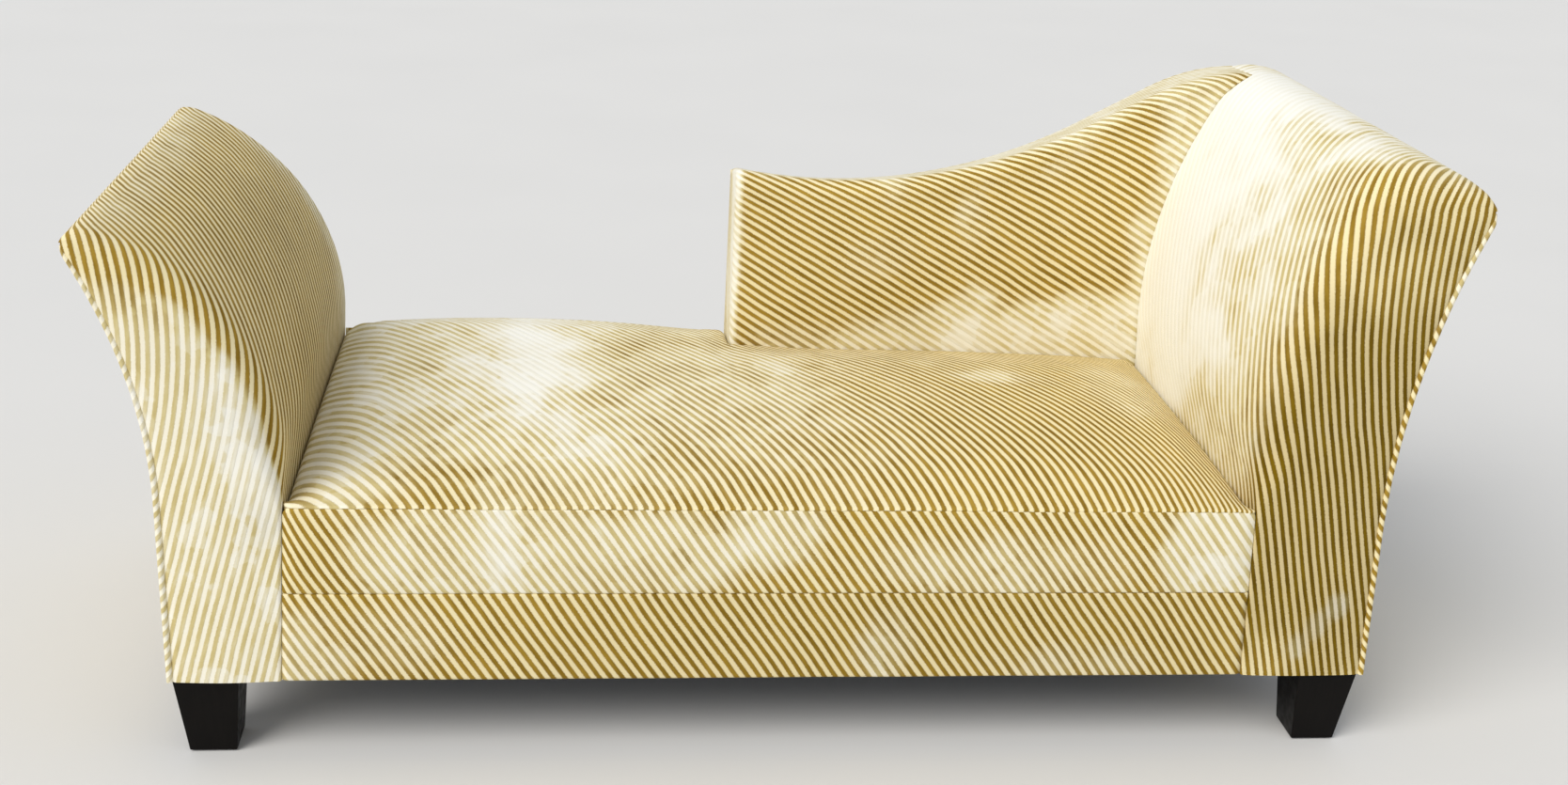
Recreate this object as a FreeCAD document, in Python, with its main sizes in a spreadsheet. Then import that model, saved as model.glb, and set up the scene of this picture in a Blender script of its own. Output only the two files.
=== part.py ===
import FreeCAD, Part
import math
import os
import re
import Sketcher

# A chaise longue with two flared upholstered ends, a swooping part back and a tight crowned seat.
# Lengths are in millimetres. X runs along the seat, the front faces -Y and Z is up.
# The head end, at +X, is the taller one. The back reaches from it to the middle of the seat.

doc = FreeCAD.newDocument("chaise_longue")
sheet = doc.addObject("Spreadsheet::Sheet", "size")

SIZES = (
    ("base_length", 1820, "outside of one end to the outside of the other, at the base"),
    ("depth", 782, "front of the ends to the outside of the rear panels"),
    ("base_height", 126, "underside of the upholstery above the floor"),
    ("rail_seam", 269, "seam between front rail panel and seat border"),
    ("seat_seam", 406, "seam along the front edge of the seat top"),
    ("seat_crown", 37, "rise of the seat middle above its front seam"),
    ("crown_end", 9, "rise of the seat top where it meets the ends"),
    ("crown_fullness", 4, "power of the curve by which the crown falls to the ends"),
    ("seat_corner", 34, "radius of the free rear corner of the seat"),
    # foot end
    ("left_width", 176, "thickness of the foot end at the seat"),
    ("left_lean_angle", 2.5, "lean of its inner side below the seat, degrees"),
    ("left_turn_height", 465, "height where its inner side starts to roll outward"),
    ("left_inner_radius", 360, "radius of the inner side"),
    ("left_turn_angle", 70, "angle that the inner side turns through"),
    ("left_shoulder", 45, "radius of the shoulder"),
    ("left_crown_radius", 38, "radius from the top to the outer edge"),
    ("left_waist", 0, "draw-in of the outer side at the waist"),
    ("left_outer_lean_angle", 0, "lean of the outer side below the waist, degrees"),
    ("left_waist_height", 410, "height of the waist"),
    ("left_outer_radius", 754, "radius of the hollow outer side"),
    # head end
    ("right_width", 216, "thickness of the head end at the seat"),
    ("right_lean_angle", 3, "lean of its inner side below the seat, degrees"),
    ("right_turn_height", 520, "height where its inner side starts to roll outward"),
    ("right_inner_radius", 767, "radius of the inner side"),
    ("right_turn_angle", 28.5, "angle that the inner side turns through"),
    ("right_shoulder", 100, "radius of the shoulder"),
    ("right_crown_radius", 154, "radius from the top to the outer edge"),
    ("right_waist", 10, "draw-in of the outer side at the waist"),
    ("right_outer_lean_angle", 2.5, "lean of the outer side below the waist, degrees"),
    ("right_waist_height", 420, "height of the waist"),
    ("right_outer_radius", 1175, "radius of the hollow outer side"),
    # back
    ("back_thick", 132, "face of the back to the outside of the rear panels"),
    ("apex_inset", 50, "outside of the head end at its base to the swoop's highest point"),
    ("back_length", 910, "highest point of the swoop to the free end of the back"),
    ("back_top", 934, "height of the swoop's highest point"),
    ("dip_height", 708, "height of the swoop's lowest point"),
    ("dip_reach", 175, "free end of the back to the lowest point"),
    ("swoop_steepness", 1.7, "steepest angle of the swoop over its mean angle, from 1 to 2"),
    ("dip_share", 0.735, "part of the two radii of the swoop that the hollow has"),
    ("back_tuck", 70, "how far the back reaches below the seat seam"),
    # layers
    ("cloth", 2.5, "thickness of the cover cloth with its wadding"),
    ("panel", 3, "thickness of the lined outside panels"),
    ("ease", 0.3, "clearance between soft layers"),
    ("arm_pad", 26, "padding on the ends"),
    ("back_pad", 34, "padding on the back"),
    ("front_wadding", 7, "wadding on the front of the ends"),
    ("burlap", 1.5, "thickness of the burlap"),
    ("welt_radius", 4.5, "radius of the welt"),
    ("welt_set", 2, "depth of the welt's middle below both faces"),
    ("tuck", 50, "how far the inside covers reach below the seat seam"),
    # frame
    ("ply", 20, "thickness of the shaped end boards"),
    ("rail_thick", 28, "thickness of the rails"),
    ("rail_top", 256, "top of the seat rails"),
    ("rail_bottom", 128, "underside of the rails"),
    ("dust_cloth", 1.2, "thickness of the cloth below"),
    ("nose_height", 62, "height of the shaped top rails of the ends"),
    ("tack_height", 45, "height of the tacking rails"),
    ("tack_thick", 22, "thickness of the tacking rails"),
    ("tack_drop", 14, "seat seam to the underside of the tacking rails of the ends"),
    ("outer_rail_height", 60, "height of the outer base rails"),
    ("post_width", 70, "width of the back posts and of the curved top rail"),
    ("stretcher_height", 70, "height of the seat stretchers"),
    ("stretcher_reach", 250, "base middle line to each stretcher"),
    ("block_height", 60, "height of the corner blocks"),
    ("block_depth", 92, "length of the corner blocks"),
    ("dowel_radius", 5, "radius of the dowels"),
    ("dowel_length", 60, "length of the dowels"),
    ("dowel_spacing", 64, "distance between two dowels of a joint"),
    ("dowel_ease", 0.1, "clearance around dowels and bolts"),
    ("strap_width", 58, "width of the seat straps"),
    ("strap_thick", 2, "thickness of the seat straps"),
    ("cross_straps", 11, "number of straps from front to rear"),
    ("long_straps", 4, "number of straps from end to end"),
    ("foam_gap", 1.2, "burlap layer between straps and foam"),
    # feet
    ("foot_top", 95, "width of a foot at the top"),
    ("foot_bottom", 69, "width of a foot at the floor"),
    ("foot_side_inset", 4, "outer face of the base to the top of the foot"),
    ("foot_front_inset", 5, "front or rear of the ends to the top of the foot"),
    ("foot_side_taper", 17, "draw-in of the outer side of a foot"),
    ("foot_front_taper", 9, "draw-in of the front or rear of a foot"),
    ("glide_height", 2, "height of the floor glides"),
    ("glide_radius", 14, "radius of the floor glides"),
    ("bolt_radius", 4, "radius of the hanger bolts"),
    ("bolt_in_foot", 40, "length of the bolt in the foot"),
    ("bolt_in_block", 52, "length of the bolt above the base"),
)
for row, (name, number, note) in enumerate(SIZES, 1):
    sheet.set("A%d" % row, name)
    sheet.set("B%d" % row, str(number))
    sheet.setAlias("B%d" % row, name)
    sheet.set("C%d" % row, note)
sheet.set("A100", "origin_x")
sheet.set("B100", "0")
sheet.setAlias("B100", "origin_x")
sheet.set("A101", "origin_y")
sheet.set("B101", "0")
sheet.setAlias("B101", "origin_y")
doc.recompute()
V = {name: float(sheet.get(name)) for name, number, note in SIZES}
Vec = FreeCAD.Vector
FAR = V["base_length"]

half = V["base_length"] / 2
front = -V["depth"] / 2
rear = V["depth"] / 2
cover_end = rear - V["panel"] - V["ease"]
panel_start = rear - V["panel"]
pad_depth = V["cloth"] + V["ease"]
frame_depth = pad_depth + V["arm_pad"] + V["ease"] + V["burlap"] + V["ease"]
outer_depth = V["panel"] + V["ease"]
board_front = front + pad_depth + V["front_wadding"] + V["ease"]
board_rear = cover_end - V["ease"]
rail_front = front + V["panel"] + V["ease"] + V["panel"]
back_face = rear - V["back_thick"]
apex = half - V["apex_inset"]
back_left = apex - V["back_length"]
tack_level = V["seat_seam"] - V["tack_drop"]

nodes = []


def words_to_cells(text):
    """Put the sheet's name before each size named in a formula."""
    return re.sub(r"[a-z_]*[a-z]", lambda m: "size." + m.group(0), text)


def bind(thing, **formulas):
    """Bind properties to formulas of the sheet's sizes. Two underscores stand for a dot."""
    for prop, text in formulas.items():
        thing.setExpression(prop.replace("__", "."), words_to_cells(text))


def place(thing, x, y, z):
    bind(thing, Placement__Base__x=x + " + origin_x", Placement__Base__y=y + " + origin_y", Placement__Base__z=z)


def node(thing, label):
    thing.Label = label
    nodes.append(thing)
    return thing


def solid(label, shape):
    """A piece whose shape follows curves shared with its neighbours."""
    piece = doc.addObject("Part::Feature", label)
    piece.Shape = shape.removeSplitter() if shape.ShapeType != "Compound" else shape
    return node(piece, label)


def block(x0, x1, y0, y1, z0, z1):
    return Part.makeBox(x1 - x0, y1 - y0, z1 - z0, Vec(x0, y0, z0))


def rod(start, along, radius):
    return Part.makeCylinder(radius, along.Length, start, along)


# The profile of an end is one chain: a leaning line, the big inner arc, the shoulder, the crown,
# the hollow outer arc and a line down to the base. Arcs keep their middles when a layer is set
# deeper, so all layers of an end follow each other exactly.
def end_profile(side, inner, outer, floor):
    """Outline of an end, set in by inner and outer, with its lower edge at floor.
    Without inner or outer the outline stays open on that side and runs far past the end."""
    open_in = inner is None
    open_out = outer is None
    inner = inner or 0
    outer = outer or 0
    get = lambda name: V[side + "_" + name]
    sign = -1 if side == "left" else 1
    at = lambda u, z: Vec(sign * (half + u), 0, z)
    polar = lambda c, r, angle: (c[0] - r * math.cos(angle), c[1] + r * math.sin(angle))

    def arc(c, r, a, b):
        return Part.Arc(at(*polar(c, r, a)), at(*polar(c, r, (a + b) / 2)), at(*polar(c, r, b))).toShape()

    big = get("inner_radius")
    small = get("shoulder")
    top = get("crown_radius")
    hollow = get("outer_radius")
    lean = -math.radians(get("lean_angle"))
    turn = math.radians(get("turn_angle"))
    out_lean = -math.radians(get("outer_lean_angle"))
    quarter = math.pi / 2
    c_in = (big - get("width"), get("turn_height"))
    c_small = polar(c_in, big - small, turn)
    c_top = (c_small[0], c_small[1] + small - top)
    c_out = (hollow - get("waist"), get("waist_height"))
    r1 = top - inner
    r2 = hollow + outer
    start_in = polar(c_in, big - inner, lean)
    start_out = polar(c_out, r2, out_lean)
    foot_in = (start_in[0] - (start_in[1] - floor) * math.tan(lean), floor)
    foot_out = (start_out[0] - (start_out[1] - floor) * math.tan(out_lean), floor)
    past = (c_top[0] + r1, c_top[1])
    inside = [
        Part.makeLine(at(*foot_in), at(*start_in)),
        arc(c_in, big - inner, lean, turn),
        arc(c_small, small - inner, turn, quarter),
    ]
    if open_out:
        foot_out = (past[0], floor)
        chain = inside + [arc(c_top, r1, quarter, math.pi), Part.makeLine(at(*past), at(*foot_out))]
        return chain + [Part.makeLine(at(*foot_out), at(*foot_in))]
    # the crown arc meets the hollow outer arc, or, in a deep layer, a short drop leads down to it
    du = c_out[0] - c_top[0]
    dz = c_out[1] - c_top[1]
    gap = math.hypot(du, dz)
    along = (gap * gap + r1 * r1 - r2 * r2) / (2 * gap)
    if along < r1:
        high = math.sqrt(r1 * r1 - along * along)
        corner = (c_top[0] + (along * du - high * dz) / gap, c_top[1] + (along * dz + high * du) / gap)
        crown = [arc(c_top, r1, quarter, math.atan2(corner[1] - c_top[1], c_top[0] - corner[0]))]
    else:
        corner = (past[0], c_out[1] + math.sqrt(r2 * r2 - (c_out[0] - past[0]) ** 2))
        crown = [arc(c_top, r1, quarter, math.pi), Part.makeLine(at(*past), at(*corner))]
    end_out = math.atan2(corner[1] - c_out[1], c_out[0] - corner[0])
    if open_in:
        end_out = end_out + math.radians(8)
    waist = [arc(c_out, r2, end_out, out_lean), Part.makeLine(at(*start_out), at(*foot_out))]
    if open_in:
        far = [foot_out, (-half, floor), (-half, polar(c_out, r2, end_out)[1]), polar(c_out, r2, end_out)]
        return waist + [Part.makeLine(at(*far[i]), at(*far[i + 1])) for i in range(3)]
    return inside + crown + waist + [Part.makeLine(at(*foot_out), at(*foot_in))]


def end_form(side, inner, outer, y0, y1, floor=None):
    face = Part.Face(Part.Wire(end_profile(side, inner, outer, V["base_height"] if floor is None else floor)))
    face.translate(Vec(0, y0, 0))
    return face.extrude(Vec(0, y1 - y0, 0))


# The swoop of the back is a hollow arc, a straight rise that touches both arcs, and a round top.
def back_profile(inset, floor, right):
    low = back_left + V["dip_reach"]
    run = apex - low
    climb = V["back_top"] - V["dip_height"]
    rise = V["swoop_steepness"] * math.atan2(climb, run)
    radii = (run * math.tan(rise) - climb) / (1 / math.cos(rise) - 1)
    hollow = radii * V["dip_share"]
    r_dip = hollow + inset
    r_top = radii - hollow - inset
    c_dip = (low, V["dip_height"] + hollow)
    c_top = (apex, V["back_top"] - (radii - hollow))
    dip = lambda a: Vec(c_dip[0] + r_dip * math.sin(a), 0, c_dip[1] - r_dip * math.cos(a))
    top = lambda a: Vec(c_top[0] - r_top * math.sin(a), 0, c_top[1] + r_top * math.cos(a))
    left = back_left + inset
    tip = -math.asin((c_dip[0] - left) / r_dip)
    corners = [Vec(right, 0, top(0).z), Vec(right, 0, floor), Vec(left, 0, floor)]
    return [
        Part.Arc(dip(tip), dip((tip + rise) / 2), dip(rise)).toShape(),
        Part.makeLine(dip(rise), top(rise)),
        Part.Arc(top(rise), top(rise / 2), top(0)).toShape(),
        Part.makeLine(top(0), corners[0]),
        Part.makeLine(corners[0], corners[1]),
        Part.makeLine(corners[1], corners[2]),
        Part.makeLine(corners[2], dip(tip)),
    ]


def back_form(inset, y0, y1, floor, right=None):
    edges = back_profile(inset, floor, half if right is None else right)
    face = Part.Face(Part.Wire(edges))
    face.translate(Vec(0, y0, 0))
    return face.extrude(Vec(0, y1 - y0, 0))


# The seat is crowned: straight along its front seam, high in the middle, low where it meets the ends.
def crown_form(lift):
    bottom = V["rail_top"]
    spread = V["seat_corner"]
    left = -half + V["left_width"] - spread
    right = half - V["right_width"] + spread
    low = V["crown_end"]
    high = V["seat_crown"]
    reach = -front
    y = reach + spread
    steps = 10
    wires = []
    for i in range(steps + 1):
        x = left + (right - left) * i / steps
        off_middle = abs(2 * i / steps - 1)
        rise = low + (high - low) * (1 - off_middle ** V["crown_fullness"])
        radius = (reach * reach + rise * rise) / (2 * rise)
        middle = V["seat_seam"] + lift + rise
        edge = middle - radius + math.sqrt(radius * radius - y * y)
        a, b, c, d = Vec(x, -y, bottom), Vec(x, -y, edge), Vec(x, y, edge), Vec(x, y, bottom)
        wires.append(Part.Wire([
            Part.makeLine(a, b), Part.Arc(b, Vec(x, 0, middle), c).toShape(),
            Part.makeLine(c, d), Part.makeLine(d, a)]))
    return Part.makeLoft(wires, True, False)


def seat_outline(y0, floor):
    """Plan of the seat: full depth beside the back, cut away in front of it, between the two ends."""
    left = -half
    right = half
    notch_x = back_left - V["ease"]
    notch_y = back_face - V["ease"]
    points = [Vec(left, y0, floor), Vec(right, y0, floor), Vec(right, notch_y, floor),
              Vec(notch_x, notch_y, floor), Vec(notch_x, cover_end, floor), Vec(left, cover_end, floor)]
    prism = Part.Face(Part.makePolygon(points + points[:1])).extrude(Vec(0, 0, FAR))
    soft = [e for e in prism.Edges if e.Length > FAR / 2 and abs(e.Vertexes[0].X - notch_x) < 0.01
            and abs(e.Vertexes[0].Y - cover_end) < 0.01 and abs(e.Vertexes[1].X - notch_x) < 0.01]
    prism = prism.makeFillet(V["seat_corner"], soft)
    for side in ("left", "right"):
        prism = prism.cut(end_form(side, -V["ease"], None, -FAR, FAR, 0))
    return prism


ENDS = ("left", "right")
back_inset = pad_depth + V["back_pad"] + V["ease"] + V["burlap"]
# behind the padding of the back the frame passes through the soft layers of the head end
opening = back_inset - V["ease"]
passage = {"left": None, "right": back_form(opening, back_face + opening, FAR, 0)}


def soft_layer(label, side, shape):
    solid(label, shape if passage[side] is None else shape.cut(passage[side]))


# Upholstered ends. The inside cover is one piece from the inner face over the top and round the
# front. The outside panel closes the outer face, and a welt runs up the front outer edge.
for side in ENDS:
    name = side + "_arm_"
    edges = end_profile(side, V["welt_set"], V["welt_set"], 0)
    spine = Part.Wire([edges[-2], edges[-3]])
    spine.translate(Vec(0, front + V["welt_set"], 0))
    start = edges[-2].Vertexes[1].Point + Vec(0, front + V["welt_set"], 0)
    slope = edges[-2].tangentAt(edges[-2].LastParameter)

    ring = Part.Wire(Part.makeCircle(V["welt_radius"], start, slope))
    welt = spine.makePipeShell([ring], True, False)
    seat_of_welt = V["welt_set"] + V["welt_radius"] + V["ease"]
    rebate = block(-FAR, FAR, -FAR, front + seat_of_welt, 0, FAR)
    rebate = rebate.cut(end_form(side, None, seat_of_welt, -FAR, FAR, 0))
    hollow = end_form(side, V["cloth"], None, front + V["cloth"], FAR, 0)
    cover = end_form(side, 0, 0, front, cover_end).cut(hollow)
    low = block(-FAR, FAR, front + V["cloth"], FAR, 0, V["seat_seam"] - V["tuck"])
    soft_layer(name + "cover", side, cover.cut(low).cut(rebate))

    shell = end_form(side, pad_depth, 0, front + pad_depth, cover_end)
    keep_out = end_form(side, None, V["panel"], -FAR, FAR, 0)
    solid(name + "outside", shell.cut(keep_out).cut(rebate))
    solid(name + "welt", welt.common(block(-FAR, FAR, -FAR, FAR, V["base_height"], FAR)))

    inner = pad_depth + V["arm_pad"]
    wrapped = end_form(side, pad_depth, outer_depth, front + pad_depth, board_rear, V["rail_bottom"])
    core = end_form(side, inner, None, board_front - V["ease"], FAR, 0)
    below = block(-FAR, FAR, board_front - V["ease"], FAR, 0, tack_level)
    soft_layer(name + "pad", side, wrapped.cut(core).cut(below).cut(rebate))

    lining = end_form(side, inner + V["ease"], outer_depth, board_front, board_rear)
    lining = lining.cut(end_form(side, frame_depth - V["ease"], None, -FAR, FAR, 0))
    soft_layer(name + "burlap", side, lining.cut(below))

# The frame: shaped boards at the front and rear of each end, joined by rails with dowels.
boards = {}
joint_rods = []
for side in ENDS:
    for where, y0 in (("front", board_front), ("rear", board_rear - V["ply"])):
        boards[side, where] = end_form(side, frame_depth, outer_depth, y0, y0 + V["ply"], V["rail_bottom"])

front_rail_y = (rail_front, rail_front + V["rail_thick"])
rear_rail_y = (board_rear - V["rail_thick"], board_rear)
rails = {}
for where, (y0, y1) in (("front", front_rail_y), ("rear", rear_rail_y)):
    rail = block(-half, half, y0, y1, V["rail_bottom"], V["rail_top"])
    for side in ENDS:
        rail = rail.cut(end_form(side, frame_depth, None, -FAR, FAR, 0))
    rails[where] = rail

middle_z = (V["rail_bottom"] + V["rail_top"]) / 2
for where, y in (("front", board_front + V["ply"] / 2), ("rear", board_rear - V["ply"] / 2)):
    for z in (middle_z - V["dowel_spacing"] / 2, middle_z + V["dowel_spacing"] / 2):
        box = rails[where].BoundBox
        for x in (box.XMin, box.XMax):
            joint_rods.append((Vec(x - V["dowel_length"] / 2, y, z), Vec(V["dowel_length"], 0, 0)))

stretchers = {}
for label, x in (("left", -V["stretcher_reach"]), ("right", V["stretcher_reach"])):
    z0 = V["rail_bottom"] + V["rail_thick"]
    stretchers[label] = block(x - V["rail_thick"] / 2, x + V["rail_thick"] / 2, front_rail_y[1], rear_rail_y[0],
                              z0, z0 + V["stretcher_height"])

drilled = Part.makeCompound([rod(p, a, V["dowel_radius"] + V["dowel_ease"]) for p, a in joint_rods])
for (side, where), shape in boards.items():
    solid("%s_arm_%s_board" % (side, where), shape.cut(drilled))
for where, shape in rails.items():
    solid(where + "_rail", shape.cut(drilled))
for label, shape in stretchers.items():
    solid("seat_stretcher_" + label, shape)
solid("frame_dowels", Part.makeCompound([rod(p, a, V["dowel_radius"]) for p, a in joint_rods]))

between = (board_front + V["ply"], board_rear - V["ply"])
for side in ENDS:
    sign = -1 if side == "left" else 1
    core = end_form(side, frame_depth, outer_depth, between[0], between[1], V["rail_bottom"])
    top = core.BoundBox.ZMax
    solid(side + "_arm_top_rail", core.common(block(-FAR, FAR, -FAR, FAR, top - V["nose_height"], FAR)))
    inside = end_form(side, frame_depth + V["tack_thick"], None, -FAR, FAR, 0)
    level = tack_level
    solid(side + "_arm_tack_rail",
          core.cut(inside).common(block(-FAR, FAR, -FAR, FAR, level, level + V["tack_height"])))
    foot = core.common(block(-FAR, FAR, -FAR, FAR, 0, V["rail_top"] + V["strap_thick"] + V["ease"]))
    thick = end_form(side, frame_depth + V["rail_thick"], None, -FAR, FAR, 0)
    solid(side + "_end_rail", foot.cut(thick))
    skin = end_form(side, None, outer_depth + V["rail_thick"], -FAR, FAR, 0)
    low = block(-FAR, FAR, -FAR, FAR, 0, V["rail_bottom"] + V["outer_rail_height"])
    solid(side + "_outer_rail", core.common(low).cut(skin))

# Back frame: a post at the free end, one inside, the curved top rail and a tacking rail.
post_y = rear_rail_y
band = back_form(back_inset, post_y[0], post_y[1], V["rail_top"])
right_board = end_form("right", frame_depth, None, -FAR, FAR, 0)
band = band.cut(right_board)
under = back_form(back_inset + V["post_width"], -FAR, FAR, 0)
post_left = back_left + back_inset
post_end = post_left + V["post_width"]
end_post = band.common(block(post_left, post_end, -FAR, FAR, 0, FAR))
solid("back_end_post", end_post)
solid("back_swoop_rail", band.cut(under).common(block(post_end, FAR, -FAR, FAR, 0, FAR)))
mid = (back_left + half - V["right_width"]) / 2
mid_post = band.common(under).common(block(mid - V["post_width"] / 2, mid + V["post_width"] / 2, -FAR, FAR, 0, FAR))
solid("back_inner_post", mid_post)
tack_z = V["seat_seam"] - V["back_tuck"]
tack = block(post_left, half, post_y[0] - V["tack_thick"], post_y[0], tack_z, tack_z + V["tack_height"])
solid("back_tack_rail", tack.cut(right_board))

# Back upholstery, cut to the curved inner face of the head end.
head = end_form("right", -V["ease"], None, -FAR, FAR, 0)
low_edge = V["seat_seam"] - V["back_tuck"]


def back_layer(depth0, depth1, y1, floor):
    outer = back_form(depth0, back_face + depth0, y1, floor)
    inner = back_form(depth1, back_face + depth1, FAR, 0)
    return outer.cut(inner).cut(head)


solid("back_cover", back_layer(0, V["cloth"], cover_end, low_edge))
pad_inner = pad_depth + V["back_pad"]
solid("back_padding", back_layer(pad_depth, pad_inner, board_rear, low_edge))
solid("back_burlap", back_layer(pad_inner + V["ease"], back_inset, board_rear, low_edge))
solid("left_arm_rear_panel", end_form("left", 0, 0, panel_start, rear))
cap = back_form(0, panel_start, rear, V["base_height"]).fuse(end_form("right", 0, 0, panel_start, rear))
solid("back_outside", cap)
rear_cut = end_form("left", -V["ease"], None, -FAR, FAR, 0)
rear_border = block(-half, back_left - V["ease"], panel_start, rear, V["base_height"], V["seat_seam"])
solid("seat_rear_border", rear_border.cut(rear_cut))

# Seat: straps on the rails, burlap, foam with its crown, top cloth, border and rail panel.
straps = []
span = (-half + V["left_width"] + V["strap_width"], half - V["right_width"] - V["strap_width"])
count = int(round(V["cross_straps"]))
for i in range(count):
    x = span[0] + (span[1] - span[0]) * i / (count - 1) - V["strap_width"] / 2
    strap = block(x, x + V["strap_width"], front_rail_y[0], rear_rail_y[1],
                  V["rail_top"], V["rail_top"] + V["strap_thick"])
    straps.append(strap.cut(end_post).cut(mid_post))
solid("seat_cross_straps", Part.makeCompound(straps))
straps = []
rows = int(round(V["long_straps"]))
reach = (front_rail_y[1] + V["strap_width"] / 2, rear_rail_y[0] - V["tack_thick"] - V["strap_width"] * 1.5)
ends = [end_form(side, frame_depth + V["rail_thick"], None, -FAR, FAR, 0) for side in ENDS]
strap_z = V["rail_top"] + V["strap_thick"] + V["ease"]
for i in range(rows):
    y = reach[0] + (reach[1] - reach[0]) * i / (rows - 1)
    strap = block(-half, half, y, y + V["strap_width"], strap_z, strap_z + V["strap_thick"])
    straps.append(strap.cut(ends[0]).cut(ends[1]))
solid("seat_long_straps", Part.makeCompound(straps))

cloth_z = strap_z + V["strap_thick"]
foam_z = cloth_z + V["foam_gap"] + V["ease"]
border_back = front + V["panel"] + V["panel"] + V["ease"]
plan = seat_outline(border_back, 0)
sheet_plan = seat_outline(front_rail_y[0], 0)
sheet_area = sheet_plan.common(block(-FAR, FAR, -FAR, rear_rail_y[0] - V["tack_thick"] - V["ease"],
                                     cloth_z, cloth_z + V["foam_gap"]))
solid("seat_burlap", sheet_area)
solid("seat_foam", crown_form(0).common(plan).common(block(-FAR, FAR, -FAR, FAR, foam_z, FAR)))
top_cloth = crown_form(V["ease"] + V["cloth"]).cut(crown_form(V["ease"]))
solid("seat_top_cover", top_cloth.common(seat_outline(front + V["panel"], V["seat_seam"] - V["crown_end"])))


def front_panel(label, z0, z1, bulge):
    """A panel between the two ends, its face swelling a little at mid height."""
    y = front + V["panel"]
    side_view = Part.Wire([
        Part.Arc(Vec(-half, y, z0), Vec(-half, y - bulge, (z0 + z1) / 2), Vec(-half, y, z1)).toShape(),
        Part.makeLine(Vec(-half, y, z1), Vec(-half, y + V["panel"], z1)),
        Part.makeLine(Vec(-half, y + V["panel"], z1), Vec(-half, y + V["panel"], z0)),
        Part.makeLine(Vec(-half, y + V["panel"], z0), Vec(-half, y, z0))])
    shape = Part.Face(side_view).extrude(Vec(2 * half, 0, 0))
    for side in ENDS:
        shape = shape.cut(end_form(side, -V["ease"], None, -FAR, FAR, 0))
    solid(label, shape)


front_panel("seat_border", V["rail_seam"] + V["ease"], V["seat_seam"] - V["ease"], V["panel"])
front_panel("front_rail_cover", V["base_height"], V["rail_seam"], V["panel"] / 3)

# Below: blocks in the corners, feet on hanger bolts, glides and the dust cloth.
foot_x = V["foot_side_inset"] + V["foot_top"] / 2
foot_y = V["foot_front_inset"] + V["foot_top"] / 2
corners = [(side, where, (-1 if side == "left" else 1), (-1 if where == "front" else 1))
           for side in ENDS for where in ("front", "rear")]
bolt_holes = []
for side, where, sx, sy in corners:
    bolt_holes.append(rod(Vec(sx * (half - foot_x), sy * (-front - foot_y), 0), Vec(0, 0, FAR),
                          V["bolt_radius"] + V["dowel_ease"]))
bolt_holes = Part.makeCompound(bolt_holes)
for side, where, sx, sy in corners:
    y0 = between[0] if where == "front" else between[1] - V["block_depth"]
    space = end_form(side, frame_depth + V["rail_thick"], outer_depth + V["rail_thick"], y0, y0 + V["block_depth"],
                     V["rail_bottom"])
    piece = space.common(block(-FAR, FAR, -FAR, FAR, 0, V["rail_bottom"] + V["block_height"]))
    solid("corner_block_%s_%s" % (where, side), piece.cut(bolt_holes))

cloth_top = V["rail_bottom"]
under_cloth = block(-half + outer_depth, half - outer_depth, rail_front, cover_end,
                    cloth_top - V["dust_cloth"], cloth_top)
solid("dust_cover", under_cloth.cut(bolt_holes))


def drawn_in(outward, taper):
    """Both edges of a foot's lower square along one axis, measured from the middle of its top."""
    edge = "foot_top / 2 - " + taper
    return (edge + " - foot_bottom", edge) if outward > 0 else ("-(" + edge + ")", "-(" + edge + " - foot_bottom)")


bolts = []
glides = []
for side, where, sx, sy in corners:
    flip = lambda sign, text: text if sign > 0 else "-(" + text + ")"
    x = flip(sx, "base_length / 2 - foot_side_inset - foot_top / 2")
    y = flip(sy, "depth / 2 - foot_front_inset - foot_top / 2")
    wedge = doc.addObject("Part::Wedge", "Taper")
    side_low, side_high = drawn_in(sx, "foot_side_taper")
    front_low, front_high = drawn_in(-sy, "foot_front_taper")
    bind(wedge, Ymin="glide_height", Ymax="rail_bottom - dust_cloth - ease",
         X2min="-foot_top / 2", X2max="foot_top / 2", Z2min="-foot_top / 2", Z2max="foot_top / 2",
         Xmin=side_low, Xmax=side_high, Zmin=front_low, Zmax=front_high)
    wedge.Placement.Rotation = FreeCAD.Rotation(Vec(1, 0, 0), 90)
    place(wedge, x, y, "0 * depth")
    drill = doc.addObject("Part::Cylinder", "Drill")
    bind(drill, Radius="bolt_radius + dowel_ease", Height="bolt_in_foot + base_height")
    place(drill, x, y, "rail_bottom - bolt_in_foot - dust_cloth")
    foot = doc.addObject("Part::Cut", "DrilledFoot")
    foot.Base = wedge
    foot.Tool = drill
    node(foot, "foot_%s_%s" % (where, side))
    bolt = doc.addObject("Part::Cylinder", "Bolt")
    bind(bolt, Radius="bolt_radius", Height="bolt_in_foot + bolt_in_block - ease")
    place(bolt, x, y, "rail_bottom - bolt_in_foot - dust_cloth + ease")
    bolts.append(bolt)
    glide = doc.addObject("Part::Cylinder", "Glide")
    bind(glide, Radius="glide_radius", Height="glide_height")
    place(glide, x + " - (" + flip(sx, "foot_side_taper - (foot_top - foot_bottom) / 2") + ")",
          y + " - (" + flip(sy, "foot_front_taper - (foot_top - foot_bottom) / 2") + ")", "0 * depth")
    glides.append(glide)
for label, parts in (("hanger_bolts", bolts), ("foot_glides", glides)):
    group = doc.addObject("Part::Compound", label)
    group.Links = parts
    node(group, label)

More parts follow.
